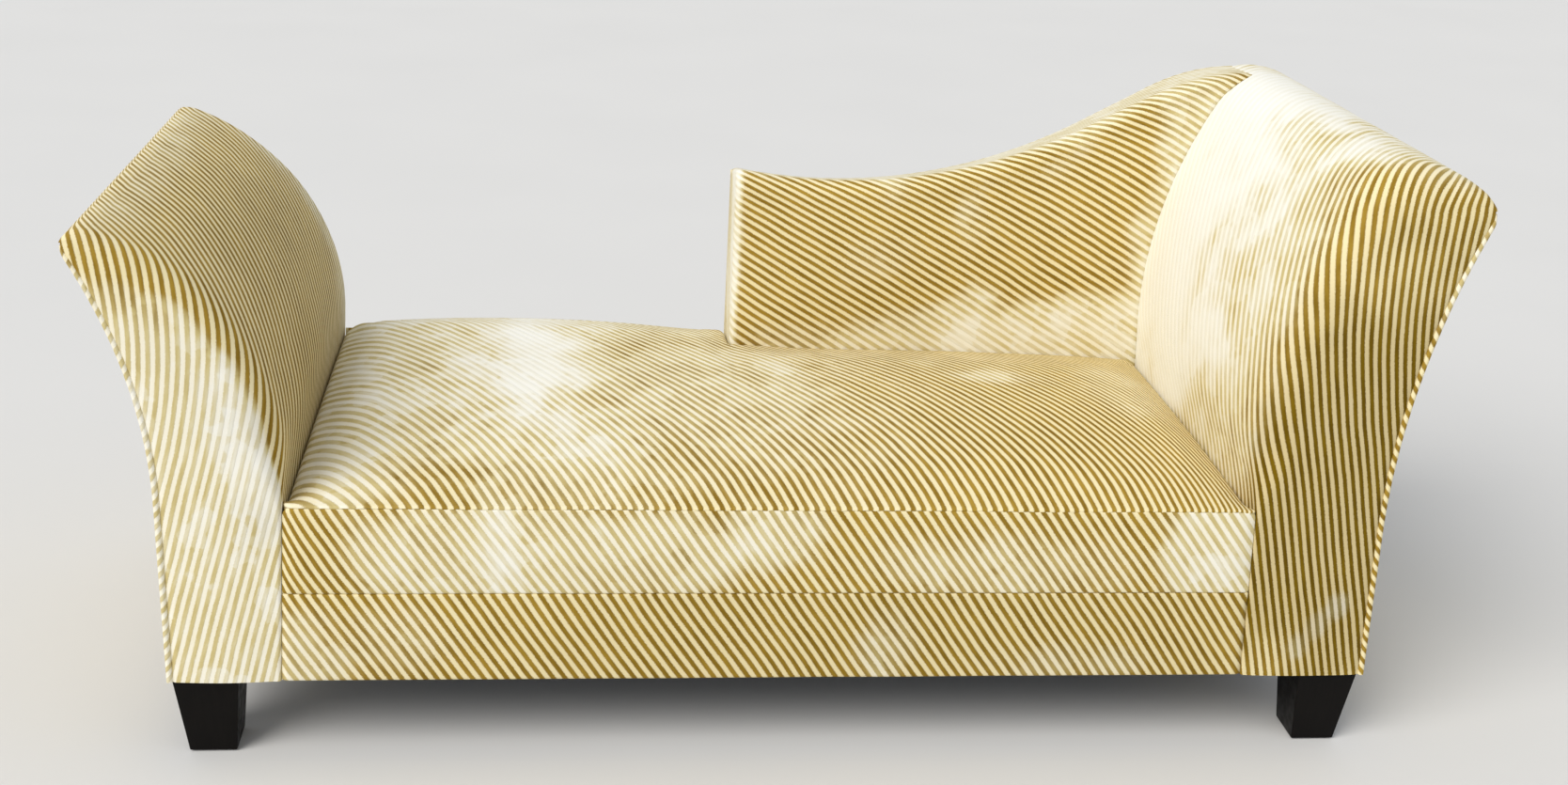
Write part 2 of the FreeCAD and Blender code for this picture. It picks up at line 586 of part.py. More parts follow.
# The origin is on the floor under the middle of the whole outline.
doc.recompute()
total = FreeCAD.BoundBox()
for piece in nodes:
    total.add(piece.Shape.optimalBoundingBox(False, False))
shift = Vec(-total.Center.x, -total.Center.y, 0)
sheet.set("B100", repr(shift.x))
sheet.set("B101", repr(shift.y))
for piece in nodes:
    if piece.TypeId == "Part::Feature":
        piece.Placement = FreeCAD.Placement(shift, FreeCAD.Rotation())
doc.recompute()

os.makedirs("parts", exist_ok=True)
for piece in nodes:
    if "Invalid" in piece.State or "Error" in piece.State or piece.Shape.isNull() or not piece.Shape.isValid():
        raise RuntimeError("bad shape: " + piece.Label)
    piece.Shape.exportStep("parts/%s.step" % piece.Label)
    box = piece.Shape.optimalBoundingBox(False, False)
    print("%-26s solids %2d  volume %11.0f  x %7.1f..%7.1f  y %7.1f..%7.1f  z %6.1f..%6.1f" % (
        piece.Label, len(piece.Shape.Solids), piece.Shape.Volume,
        box.XMin, box.XMax, box.YMin, box.YMax, box.ZMin, box.ZMax))
print(len(nodes), "nodes")
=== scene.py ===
# %% [markdown]
# # A striped chaise longue
# The part is a chaise longue with two flared ends, a swooping half back and a tight, crowned seat.
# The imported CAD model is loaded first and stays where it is. It gives every place and size, so the
# cloth pieces below are built straight in its frame, in metres: X along the seat, the front at -Y.

# %% Load the frame
import bpy
import bmesh
from math import asin, atan2, cos, dist, exp, hypot, pi, radians, sin, sqrt, tan
from mathutils import Matrix, Vector, noise


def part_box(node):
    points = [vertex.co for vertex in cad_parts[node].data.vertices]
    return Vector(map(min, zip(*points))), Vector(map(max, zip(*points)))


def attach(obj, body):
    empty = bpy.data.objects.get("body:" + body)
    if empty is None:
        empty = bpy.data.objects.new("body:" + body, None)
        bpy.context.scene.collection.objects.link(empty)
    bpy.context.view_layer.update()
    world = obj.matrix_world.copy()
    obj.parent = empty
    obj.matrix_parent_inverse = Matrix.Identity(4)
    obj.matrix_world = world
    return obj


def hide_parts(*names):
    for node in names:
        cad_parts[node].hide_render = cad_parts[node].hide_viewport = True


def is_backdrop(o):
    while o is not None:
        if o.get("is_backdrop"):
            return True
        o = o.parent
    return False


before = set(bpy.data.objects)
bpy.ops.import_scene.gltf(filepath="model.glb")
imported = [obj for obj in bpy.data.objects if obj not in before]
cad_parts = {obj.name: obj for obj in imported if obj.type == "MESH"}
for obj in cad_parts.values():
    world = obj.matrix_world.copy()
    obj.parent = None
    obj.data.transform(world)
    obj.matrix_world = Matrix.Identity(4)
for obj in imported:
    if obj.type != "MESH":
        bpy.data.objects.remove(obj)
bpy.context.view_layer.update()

# %% [markdown]
# The upholstery follows a few places of the frame: the middle of the base between the feet, the
# plane of the end fronts, the face of the back and the heights of the seams. Reading them from the
# CAD boxes keeps the cloth on the frame when a size of the part changes.

# %% Places read from the frame
def low(node):
    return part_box(node)[0]


def high(node):
    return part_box(node)[1]


FOOT_INSET = 0.004
LEFT_BASE = low("foot_front_left")[0] - FOOT_INSET
RIGHT_BASE = high("foot_front_right")[0] + FOOT_INSET
FRONT = low("left_arm_cover")[1]
REAR = low("back_outside")[1]
REAR_FACE = high("back_outside")[1]
BASE = low("left_arm_cover")[2]
RAIL_SEAM = high("front_rail_cover")[2]
SEAT_SEAM = high("seat_border")[2]
BACK_FACE = low("back_cover")[1]
BACK_END = low("back_cover")[0]
print("base", round(LEFT_BASE, 4), round(RIGHT_BASE, 4), "fronts at", round(FRONT, 4))

# %% [markdown]
# An end has a profile made of tangent arcs: a big inner arc, a shoulder, a crown and a hollow outer
# arc. It could be traced as a spline, but the arcs are the real template of the frame boards, so the
# profile is walked along by length. u runs outward from the base, z up. Only the tip, where crown
# and outer arc meet, is rounded by a short curve, as the padding does.

# %% Profile of an end
QUARTER = pi / 2


def bisect(lo, hi, before, steps=40):
    """The last value from lo to hi at which before(value) still holds."""
    for _ in range(steps):
        mid = (lo + hi) / 2
        lo, hi = (mid, hi) if before(mid) else (lo, mid)
    return lo


def polar(c, r, a):
    return (c[0] - r * cos(a), c[1] + r * sin(a))


class EndProfile:
    """Angles are in degrees; big, shoulder, crown and hollow are the radii of the arcs."""

    def __init__(self, sign, base_x, width, lean, turn_z, big, turn, shoulder, crown,
                 waist, out_lean, waist_z, hollow, tip):
        self.sign, self.base_x, self.hollow, self.tip, self.bend = sign, base_x, hollow, tip, None
        lean, turn, self.out_lean = -radians(lean), radians(turn), -radians(out_lean)
        c_in = (big - width, turn_z)
        c_small = polar(c_in, big - shoulder, turn)
        c_top = (c_small[0], c_small[1] + shoulder - crown)
        self.c_out = (hollow - waist, waist_z)
        start = polar(c_in, big, lean)
        foot = (start[0] - (start[1] - BASE) * tan(lean), BASE)
        du, dz = self.c_out[0] - c_top[0], self.c_out[1] - c_top[1]
        gap = hypot(du, dz)
        along = (gap * gap + crown * crown - hollow * hollow) / (2 * gap)
        rise = sqrt(crown * crown - along * along)
        peak = (c_top[0] + (along * du - rise * dz) / gap, c_top[1] + (along * dz + rise * du) / gap)
        end_top = atan2(peak[1] - c_top[1], c_top[0] - peak[0])
        self.line = (foot, start, dist(foot, start))
        self.arcs = ((c_in, big, lean, turn), (c_small, shoulder, turn, QUARTER),
                     (c_top, crown, QUARTER, end_top))
        self.length = self.line[2] + sum(r * (b - a) for _c, r, a, b in self.arcs)
        self.start_out = polar(self.c_out, hollow, self.out_lean)
        first, below = self.inner(self.length - tip)[0], peak[1] - 0.8 * tip
        self.bend = (first, peak, (self.outer_u(below), below))
        self.corner = self.rounded(0.5)[0]

    def rounded(self, t):
        """Point and inward direction on the rounded tip, from the crown (0) to the outer side (1)."""
        (au, az), (ku, kz), (bu, bz) = self.bend
        point = tuple((1 - t) ** 2 * a + 2 * t * (1 - t) * k + t * t * b
                      for a, k, b in ((au, ku, bu), (az, kz, bz)))
        way = Vector(((1 - t) * (ku - au) + t * (bu - ku), (1 - t) * (kz - az) + t * (bz - kz))).normalized()
        return point, (way.y, -way.x)

    def inner(self, run):
        """Point and inward direction at a length along the inner side, the shoulder and the crown."""
        foot, start, length = self.line
        if self.bend and run > self.length - self.tip:
            return self.rounded(0.5 - 0.5 * max(0.0, self.length - run) / self.tip)
        if run <= length:
            k, a = run / length, self.arcs[0][2]
            return (tuple(f + k * (s - f) for f, s in zip(foot, start)), (cos(a), -sin(a)))
        run -= length
        for c, r, a, b in self.arcs:
            if run <= r * (b - a) + 1e-9:
                break
            run -= r * (b - a)
        t = a + run / r
        return polar(c, r, t), (cos(t), -sin(t))

    def outer_u(self, z):
        """How far out the outer side is at a height."""
        if self.bend and z > self.bend[2][1]:
            return self.rounded(bisect(0.5, 1.0, lambda t: self.rounded(t)[0][1] > z, 24))[0][0]
        if z < self.start_out[1]:
            return self.start_out[0] + (self.start_out[1] - z) * tan(-self.out_lean)
        return self.c_out[0] - sqrt(max(self.hollow ** 2 - (z - self.c_out[1]) ** 2, 0))

    def x(self, u):
        return self.base_x + self.sign * u

    def inner_x(self, z):
        """Where the inner side is at a height below the apex."""
        last = self.line[2] + self.arcs[0][1] * self.arcs[0][3] + 0.3
        run = bisect(0.0, self.length, lambda r: self.inner(r)[0][1] < z and r <= last)
        return self.x(self.inner(run)[0][0])

    def tip_place(self):
        return (self.x(self.corner[0]), self.corner[1])


LEFT = EndProfile(-1, LEFT_BASE, width=0.176, lean=2.5, turn_z=0.465, big=0.360, turn=70, shoulder=0.045,
                  crown=0.038, waist=0.0, out_lean=0, waist_z=0.410, hollow=0.754, tip=0.022)
RIGHT = EndProfile(1, RIGHT_BASE, width=0.216, lean=3, turn_z=0.520, big=0.767, turn=28.5, shoulder=0.100,
                   crown=0.154, waist=0.010, out_lean=2.5, waist_z=0.420, hollow=1.175, tip=0.032)
for name, end in (("foot end", LEFT), ("head end", RIGHT)):
    print(name, "profile length", round(end.length, 3), "corner", [round(v, 3) for v in end.corner])

# %% [markdown]
# The camera stands where the photograph was taken from, found from the feet and seams: a little to
# the left of the middle, above the eyes of a seated person, with a slight roll.

# %% Camera
VIEW_YAW, VIEW_PITCH, VIEW_ROLL = (radians(v) for v in (7.112, 20.952, -3.2))
FOCAL_PIXELS, IMAGE_WIDTH, SENSOR = 1960.0, 1668, 36
STAND = Vector(((LEFT_BASE + RIGHT_BASE) / 2 - 0.33241, FRONT - 2.43336, 1.52956))


def add_object(name, data):
    made = bpy.data.objects.new(name, data)
    bpy.context.scene.collection.objects.link(made)
    return made


camera = add_object("camera", bpy.data.cameras.new("camera"))
camera.data.sensor_width = SENSOR
camera.data.lens = SENSOR * FOCAL_PIXELS / IMAGE_WIDTH
turns = ((-VIEW_YAW, "Z"), (QUARTER - VIEW_PITCH, "X"), (-VIEW_ROLL, "Z"))
yaw, tilt, roll = (Matrix.Rotation(angle, 4, axis) for angle, axis in turns)
camera.matrix_world = Matrix.Translation(STAND) @ yaw @ tilt @ roll
bpy.context.scene.camera = camera
print("camera at", [round(v, 3) for v in camera.matrix_world.translation])

# %% [markdown]
# The stage is one pale floor under even light. A broad sun from the left front gives the soft shade
# on the foot end's inner face, and the sky fills the rest, so colours come out about as written.

# %% Floor and light
FLOOR_REACH = 90
floor_mesh = bpy.data.meshes.new("floor")
corners = [(a * FLOOR_REACH, b * FLOOR_REACH, 0) for a, b in ((-1, -1), (1, -1), (1, 1), (-1, 1))]
floor_mesh.from_pydata(corners, [], [(0, 1, 2, 3)])
floor = add_object("floor", floor_mesh)
floor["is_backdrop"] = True
sun = bpy.data.lights.new("window", "SUN")
sun.energy, sun.angle, sun.color = 2.14, radians(38), (1.0, 0.97, 0.92)
window = add_object("window", sun)
window.rotation_euler = Vector((0.55, 0.48, -0.685)).to_track_quat("-Z", "Y").to_euler()
sky = bpy.data.worlds.new("studio")
sky.use_nodes = True
glow = sky.node_tree.nodes["Background"].inputs
glow["Color"].default_value = (0.93, 0.96, 1.0, 1)
glow["Strength"].default_value = 0.56
bpy.context.scene.world = sky
bpy.context.scene.view_settings.view_transform = "Standard"
print("sun strength", sun.energy)

# %% [markdown]
# A soft piece is rows of points. A few small helpers space the rows, round an edge and add the small
# unevenness of hand work. The unevenness is smooth noise of the place, so every run gives the same.

# %% Helpers for soft shapes
def smoothstep(a, b, v):
    k = min(max((v - a) / (b - a), 0), 1)
    return k * k * (3 - 2 * k)


def spread(a, b, n, first=0):
    """Even places from a to b in n steps."""
    return [a + (b - a) * k / n for k in range(first, n + 1)]


def crowded(a, b, n):
    """Places from a to b that crowd at both ends."""
    return [a + (b - a) * (1 - cos(pi * k / n)) / 2 for k in range(n + 1)]


def wobble(x, y, z):
    return noise.noise(Vector((x, y, z)))


def edge_drop(distance, radius):
    """How far a rolled edge lies below the flat, at a distance in from that edge."""
    k = min(max(0.0, 1 - distance / radius), 1.0)
    return radius * (1 - sqrt(1 - k * k))


def unrolled(distance, radius):
    """Length over a rolled edge from the start of the roll, less the same run in plan."""
    k = min(max(0.0, 1 - distance / radius), 1.0)
    return radius * (asin(k) - k)


print("half way into a 10 mm roll the edge drops", round(1000 * edge_drop(0.005, 0.01), 2), "mm")

# %% [markdown]
# Cloth needs its own coordinates: one across the stripes and one along them, in real metres. They
# are kept in a UV map named cloth. Two point attributes come from short lists of soft spots. The
# first says how rubbed the pile is, and it also paints the bright sheen of the pile as pale colour,
# a painted highlight. The second darkens both colours: painted shade. Painting them by hand would
# work too, but a short list of soft spots is easy to move. One helper makes the mesh from the rows,
# joins doubled points and keeps sharp folds sharp; a closed grid joins each row to a ring and caps
# both ends.

# %% Grid to mesh
JOIN = 0.00015


def spotted(place, spots):
    """How strongly spots mark a place, 0 to 1; a spot has a centre, three reaches, a strength and a softness."""
    clear = 1.0
    ragged = 0.30 * noise.noise(Vector(place) * 9) + 0.18 * noise.noise(Vector(place) * 23)
    for centre, reach, strength, soft in spots:
        away = sqrt(sum(((p - c) / r) ** 2 for p, c, r in zip(place, centre, reach)))
        clear *= 1 - strength * (1 - smoothstep(1 - 0.9 * soft, 1 + 0.7 * soft, away + ragged))
    return 1 - clear


def grid_faces(count, wide, closed, first=0):
    """Quads between count rows of wide points."""
    faces = []
    for i in range(count - 1):
        for j in range(wide if closed else wide - 1):
            a, b = first + i * wide + j, first + i * wide + (j + 1) % wide
            faces.append((a, b, b + wide, a + wide))
    if closed:
        faces.append(tuple(range(first, first + wide))[::-1])
        faces.append(tuple(range(first + (count - 1) * wide, first + count * wide)))
    return faces


def clean_mesh(mesh, sharp):
    bm = bmesh.new()
    bm.from_mesh(mesh)
    bmesh.ops.remove_doubles(bm, verts=bm.verts, dist=JOIN)
    bmesh.ops.recalc_face_normals(bm, faces=bm.faces)
    bm.to_mesh(mesh)
    bm.free()
    mesh.shade_smooth()
    mesh.set_sharp_from_angle(angle=radians(sharp))


def cloth_mesh(name, rows, spots=(), deep=(), closed=False, sharp=48):
    """An object from rows of (place, cloth coordinate) pairs."""
    mesh = bpy.data.meshes.new(name)
    places = [p for row in rows for p, _c in row]
    cloth = [c for row in rows for _p, c in row]
    mesh.from_pydata(places, [], grid_faces(len(rows), len(rows[0]), closed))
    layer = mesh.uv_layers.new(name="cloth")
    for loop in mesh.loops:
        layer.data[loop.index].uv = cloth[loop.vertex_index]
    # The first attribute is wear and painted highlight of sheen, the second is painted shade.
    for key, where in (("wear_and_sheen", spots), ("deep", deep)):
        layer = mesh.attributes.new(key, "FLOAT", "POINT")
        for value, place in zip(layer.data, places):
            value.value = spotted(place, where)
    clean_mesh(mesh, sharp)
    return add_object(name, mesh)


def place_piece(piece, slot, *nodes, fill=None):
    """Fix a piece to the frame and hide the CAD nodes it stands for; fill, how full a pad is, is not used."""
    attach(piece, "root")
    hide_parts(*nodes)
    print(piece.name, len(piece.data.vertices), "points")
    return piece


print("a closed grid of 3 rows of 4 points has", len(grid_faces(3, 4, True)), "faces")

# %% [markdown]
# Padding under tight cloth swells a little between its seams. Blender's Cloth does this well: the
# points at seams and hidden faces are held, air presses from inside, and no point may move further
# than a small cap. The grid itself is simulated, not a remesh, so the stripes stay on the cloth.

# %% Swelling by cloth simulation
AIR_PRESSURE, LAST_FRAME = 4.0, 20


def swell(piece, is_held, cap):
    """Puff a pad with Cloth, keep the result in its mesh, and print how far it moved."""
    scene, points = bpy.context.scene, piece.data.vertices
    pins = piece.vertex_groups.new(name="held")
    pins.add([p.index for p in points if is_held(*p.co)], 1.0, "REPLACE")
    puff = piece.modifiers.new("puff", "CLOTH")
    puff.settings.vertex_group_mass = "held"
    puff.settings.quality = 4
    puff.settings.use_pressure = True
    puff.settings.uniform_pressure_force = AIR_PRESSURE
    puff.settings.effector_weights.gravity = 0
    puff.settings.bending_stiffness = 1.5
    puff.point_cache.frame_end = LAST_FRAME
    for number in range(1, LAST_FRAME + 1):
        scene.frame_set(number)
    shaped = piece.evaluated_get(bpy.context.evaluated_depsgraph_get()).to_mesh()
    moves = [b.co - a.co for a, b in zip(points, shaped.vertices)]
    piece.modifiers.remove(puff)
    piece.vertex_groups.remove(pins)
    scene.frame_set(1)
    for point, move in zip(points, moves):
        point.co += move * min(1.0, cap / max(move.length, 1e-9))
    print(piece.name, "swelled by up to", round(1000 * min(cap, max(m.length for m in moves)), 1), "mm")


print("simulation is", "on")

# %% [markdown]
# The ends are tight padding under one piece of cloth that comes up along the outer edge of the front,
# turns the corner with a soft roll and runs back over the inner face. On the front the stripes
# follow the outer edge, so their coordinate is the distance from that edge, bent outwards near the
# top. Round the roll it starts at the front's rate and settles to the slant of the inner face, so no
# stripe kinks where the cloth turns.

# %% Stripes on an end
EDGE_RATE, ROLL_REACH, SETTLE_REACH, BOW = 1.02, 0.05, 0.25, 0.05


def over_roll(length, fall, start):
    """Stripe coordinate gained over the roll, from the rate start to the rate fall."""
    eased = (start - fall) * ROLL_REACH * (1 - exp(-length / ROLL_REACH))
    return fall * length + eased + BOW * length * length


def front_stripe(u, z, lean, gain, start, span):
    """Stripe coordinate on a front and its rise: nearly upright stripes that bend outwards at the top."""
    t = min(max(0.0, (z - start) / span), 1.0)
    bent = t ** 3 - t ** 4 / 2 + max(0.0, (z - start) / span - 1)
    return -EDGE_RATE * u - lean * z + gain * span * bent, gain * t * t * (3 - 2 * t) - lean


print("stripes settle within", SETTLE_REACH, "m of the roll")

# %% [markdown]
# A remeshed block would lose the run of the cloth, so each end is a stack of rings, one above the
# other along the profile: round the rear edge, along the inner face, round the front roll, across
# the front, and back behind the padding. The rings are closer near the tip, which is rounded.

# %% Rings of an end
PAD_DEPTH, FRONT_LAYER, REAR_EDGE, TIP_ROUND = 0.0285, 0.0098, 0.016, 0.03
SEAT_SIDE_ROLL, WELT_GAP, FRONT_EDGE, TIP_PART = 0.006, 0.0025, 0.004, 0.058
EDGE_STEPS, FACE_STEPS, ROLL_STEPS, FRONT_STEPS = 7, 52, 10, 18
FRONT_BULGE, FRONT_UNEVEN, FACE_UNEVEN = 0.0035, 0.0012, 0.0022
ROLL_SHARE, EDGE_SHARE, DEPTH_SHARE = 0.46, 0.4, 0.8
SHARES = [(1 - TIP_PART) * k / 98 for k in range(99)]
SHARES += [1 - TIP_PART * (1 - sin(QUARTER * k / 12)) for k in range(1, 13)]


def rear_rounding(z):
    """The rear edge is rounded above the seat and sharp beside it."""
    return 0.12 + 0.88 * smoothstep(SEAT_SEAM - 0.01, SEAT_SEAM + 0.10, z)


def end_ring(end, share, roll, slack, seed, fall, upright, ease):
    rear = high("left_arm_cover")[1]
    run = end.length * share
    (u, z), (nu, nz) = end.inner(run)
    z_out = BASE + (end.corner[1] - BASE) * share
    u_out = end.outer_u(z_out) - WELT_GAP
    wide = hypot(u_out - u, z_out - z)
    loose = smoothstep(SEAT_SEAM - 0.02, SEAT_SEAM + 0.11, z)
    r = min(SEAT_SIDE_ROLL + (roll - SEAT_SIDE_ROLL) * loose, ROLL_SHARE * wide)
    tip = smoothstep(0.0, 0.06, wide)
    loose *= 1 - smoothstep(0.74, 0.9, share)
    turn_u, turn_z = u + nu * r, z + nz * r
    c_turn, rise = front_stripe(turn_u, turn_z, *upright)
    start = EDGE_RATE * nu - rise * nz
    settle = ease[2] * max(0.0, run - ease[3]) ** 2 - ease[0] * max(0.0, ease[1] - run)

    def stripe(length):
        return c_turn + over_roll(length, fall, start) + settle * smoothstep(0, SETTLE_REACH, length)

    start_y, rear_y = FRONT + r, rear - edge_drop(end.length - run, TIP_ROUND)
    back_roll = min(REAR_EDGE * rear_rounding(z), EDGE_SHARE * wide)
    ring = []
    for j in range(EDGE_STEPS + FACE_STEPS + 1):
        a = QUARTER * min(j, EDGE_STEPS) / EDGE_STEPS
        y = rear_y - back_roll * (1 - cos(a))
        y += max(j - EDGE_STEPS, 0) / FACE_STEPS * (start_y - y)
        k = (rear - y) / (rear - start_y)
        puff = slack * max(0.0, sin(pi * k)) ** 0.8 * tip * loose - back_roll * (1 - sin(a))
        puff += FACE_UNEVEN * wobble(u * 5 + seed, y * 6, z * 6) * tip * loose
        length = r * QUARTER + y - start_y + back_roll * (QUARTER - a - cos(a)) * 0.6
        ring.append((u - nu * puff, y, z - nz * puff, stripe(length)))
    for a in spread(0, QUARTER, ROLL_STEPS, 1):
        d = r * (1 - cos(a))
        ring.append((u + nu * d, FRONT + r * (1 - sin(a)), z + nz * d, stripe(r * (QUARTER - a))))
    for k in spread(0, 1, FRONT_STEPS, 1):
        pu, pz = turn_u + k * (u_out - turn_u), turn_z + k * (z_out - turn_z)
        bulge = (FRONT_BULGE * sin(pi * k) + FRONT_UNEVEN * wobble(pu * 9, seed, pz * 8)) * tip
        y = FRONT - bulge + edge_drop(wide * (1 - k), FRONT_EDGE)
        ring.append((pu, y, pz, front_stripe(pu, pz, *upright)[0]))
    deep = min(PAD_DEPTH, DEPTH_SHARE * wide)
    deep_u, deep_z, behind = u + nu * deep, z + nz * deep, FRONT + FRONT_LAYER
    ring += [(u_out + k * (deep_u - u_out), behind, z_out + k * (deep_z - z_out), 0.0) for k in spread(0, 1, 4)]
    ring += [(deep_u, y, deep_z, 0.0) for y in spread(behind, rear_y, 6, 1)]
    return [((end.x(pu), y, pz), (c, run)) for pu, y, pz, c in ring]


print(len(SHARES), "rings for each end")

# %% [markdown]
# Now both ends are made. The spots follow the wear of the real cover and the light on it: the foot
# end's front is rubbed below and its inner face faded at the rear; the head end's inner face and the
# top near its tip are painted nearly white, a painted highlight for the sheen of the pile. The deep
# spots are painted shade: they darken the low part of the foot end's inner face and make the head
# end's front dark gold. Each spot is a centre, three reaches, a strength and a softness.

# %% Both ends
LEFT_SPOTS = [
    ((-0.83, FRONT, 0.36), (0.30, 0.011, 0.36), 0.62, 0.3), ((-0.775, FRONT, 0.56), (0.06, 0.012, 0.12), 0.3, 0.4),
    ((-0.74, 0.37, 0.50), (0.2, 0.05, 0.34), 0.5, 0.9), ((-0.75, 0.24, 0.46), (0.05, 0.22, 0.08), 0.25, 0.9),
    ((-0.96, 0.1, 0.81), (0.07, 0.5, 0.03), 0.3, 1.0)]
# The large spots over the head end's inner face are painted highlight of sheen; the three small spots low on its
# front are wear.
RIGHT_WEAR_AND_SHEEN = [
    ((0.74, 0.32, 0.62), (0.30, 0.26, 0.50), 0.9, 0.8), ((0.82, 0.16, 0.90), (0.25, 0.34, 0.20), 0.9, 0.8),
    ((0.72, 0.06, 0.50), (0.10, 0.24, 0.18), 0.9, 0.8), ((0.74, -0.10, 0.74), (0.10, 0.16, 0.16), 0.6, 0.8),
    ((0.74, 0.12, 0.66), (0.12, 0.20, 0.26), 0.9, 0.8), ((0.78, -0.24, 0.66), (0.16, 0.11, 0.34), 0.5, 0.6)]
RIGHT_WEAR_AND_SHEEN += [((x, FRONT, z), (0.018, 0.05, 0.026), 0.4, 0.5)
                for x, z in ((0.805, 0.18), (0.833, 0.215), (0.86, 0.25))]
# Painted highlight: a pale band along the head end's top near the tip.
RIGHT_WEAR_AND_SHEEN.append(((0.95, -0.2, 0.94), (0.1, 0.24, 0.04), 0.6, 0.8))
# Painted shade: these deep spots darken the low part of the foot end's inner face and the head end's front.
LEFT_PAINTED_SHADE = [((-0.76, 0.05, 0.55), (0.16, 0.36, 0.28), 0.5, 0.8), ((-0.73, 0.0, 0.44), (0.06, 0.36, 0.12), 0.6, 0.8)]
RIGHT_PAINTED_SHADE = [
    ((0.86, FRONT - 0.02, 0.42), (0.30, 0.07, 0.38), 0.95, 0.5),
    ((0.98, FRONT - 0.02, 0.76), (0.20, 0.08, 0.2), 0.4, 0.8)]
END_SWELL = 0.004


def pad_an_end(side, end, spots, deep, **cut):
    rings = [end_ring(end, share, **cut) for share in SHARES]
    piece = cloth_mesh(side + "_end_upholstery", rings, spots, deep, closed=True)
    rear = high(side + "_arm_cover")[1]
    shoulder_z = end.inner(end.length * 0.86)[0][1]

    def is_held(x, y, z):
        return (z < SEAT_SEAM + 0.05 or y > rear - 0.03 or y < FRONT + 0.02 or z > end.corner[1] - 0.01
                or end.sign * (end.inner_x(min(z, shoulder_z)) - x) < -0.006)

    swell(piece, is_held, END_SWELL)
    nodes = [side + "_arm_" + layer for layer in ("cover", "pad", "burlap")]
    return place_piece(piece, "stripe_fabric", *nodes, fill=0.9)


left_end = pad_an_end("left", LEFT, LEFT_SPOTS, LEFT_PAINTED_SHADE, roll=0.048, slack=0.004, seed=7.0, fall=0.66,
                      upright=(0.28, 0.50, 0.44, 0.42), ease=(0.25, 0.45, 2.0, 0.66))
right_end = pad_an_end("right", RIGHT, RIGHT_WEAR_AND_SHEEN, RIGHT_PAINTED_SHADE, roll=0.058, slack=0.001, seed=3.0, fall=0.64,
                       upright=(0.26, 0.34, 0.50, 0.45), ease=(0.0, 0.0, 1.0, 0.68))

# %% [markdown]
# The seat is a crowned pad: straight along the front seam, high in the middle and rolled down where
# it meets the ends and the back. Left of the back it fills the whole depth, stays full to the rear,
# and its free rear corner is round. Small puckers sit along the sewn edges. A plain sheet lifted by
# sculpting could look alike, but a height written for each place keeps the seams exactly where the
# frame has them.

# %% Shape of the seat
CROWN_MID, CROWN_END, COVER = 0.037, 0.009, 0.0028
SIDE_ROLL, REAR_ROLL, FRONT_ROLL, CORNER_ROUND, BACK_TUCK = 0.036, 0.028, 0.0038, 0.034, 0.018
FULL_DEPTH, HAIR, FRONT_GATHER, SIDE_GATHER, SEAT_UNEVEN = 0.65, 0.0004, 0.0007, 0.0009, 0.0014
SEAT_LEFT, SEAT_RIGHT = LEFT.inner_x(SEAT_SEAM), RIGHT.inner_x(SEAT_SEAM)
SEAT_FRONT, NOTCH = FRONT + 0.0008, BACK_END - 0.0015


def seat_front(x):
    return SEAT_FRONT + edge_drop(x - SEAT_LEFT, 0.018) + edge_drop(SEAT_RIGHT - x, 0.008)


def seat_rear(x):
    if x < NOTCH:
        return REAR - 0.001 - edge_drop(NOTCH - x, CORNER_ROUND)
    return BACK_FACE + 0.004


def puckers(along, repeat, swing, off, fade):
    """Small gathers of the cloth along a seam, as a wave that fades with the distance off it."""
    return sin(2 * pi * along / repeat + swing) * exp(-off / fade)


def seat_height(x, y):
    off = 2 * (x - SEAT_LEFT) / (SEAT_RIGHT - SEAT_LEFT) - 1
    rise = CROWN_END + (CROWN_MID - CROWN_END) * (1 - abs(off) ** (8 if off < 0 else 4))
    deep = (y - FRONT) / (REAR - FRONT)
    arch = 1 - (y / FRONT) ** 2
    full = 1 - (1 - deep / FULL_DEPTH) ** 2
    if deep >= FULL_DEPTH:
        full = 1 - 0.1 * ((deep - FULL_DEPTH) / (1 - FULL_DEPTH)) ** 2
    full_rear = 1 - smoothstep(-0.42, 0.20, x)
    z = SEAT_SEAM + COVER + rise * (arch + full_rear * (full - arch))
    side, front = min(x - SEAT_LEFT, SEAT_RIGHT - x), y - seat_front(x)
    z -= edge_drop(front, FRONT_ROLL) + edge_drop(seat_rear(x) - y, REAR_ROLL if x < BACK_END else BACK_TUCK)
    z -= 0.75 * edge_drop(side, SIDE_ROLL) * smoothstep(-0.01, 0.05, front)
    if x < NOTCH:
        z -= edge_drop(NOTCH - x, 0.012) * smoothstep(BACK_FACE - 0.02, BACK_FACE + 0.012, y)
    z += 0.0035 * exp(-((x - SEAT_LEFT - 0.012) / 0.016) ** 2 - (front / 0.022) ** 2)
    z += FRONT_GATHER * puckers(x, 0.027, 3 * wobble(x * 9, 2, 0), front, 0.014)
    z += SIDE_GATHER * puckers(y, 0.034, 4 * wobble(y * 8, 5, 0), side, 0.02)
    return z + SEAT_UNEVEN * wobble(x * 6, y * 6, 9)


print("seat from", round(SEAT_LEFT, 3), "to", round(SEAT_RIGHT, 3), "seam at", round(SEAT_SEAM, 3))

# %% [markdown]
# The stripes cross the seat on a slant that opens toward the front, crowd together beside the ends
# and follow the rolled rear edge by its unrolled length. Each column of the seat is a ring: over the
# top from the front seam to the rear, then down and back under the foam.

# %% Seat pad
SEAT_SWELL = 0.005


def seat_cloth(x, y):
    deep = y + unrolled(seat_rear(x) - y, REAR_ROLL)
    crowd = 0.048 * exp(-(x - SEAT_LEFT - 0.034) / 0.085) + 0.088 * exp((x - SEAT_RIGHT) / 0.08)
    return (0.79 * x + crowd + 0.49 * deep + deep * deep / 2 * (0.725 + 0.85 * x), 0.79 * deep - 0.49 * x)


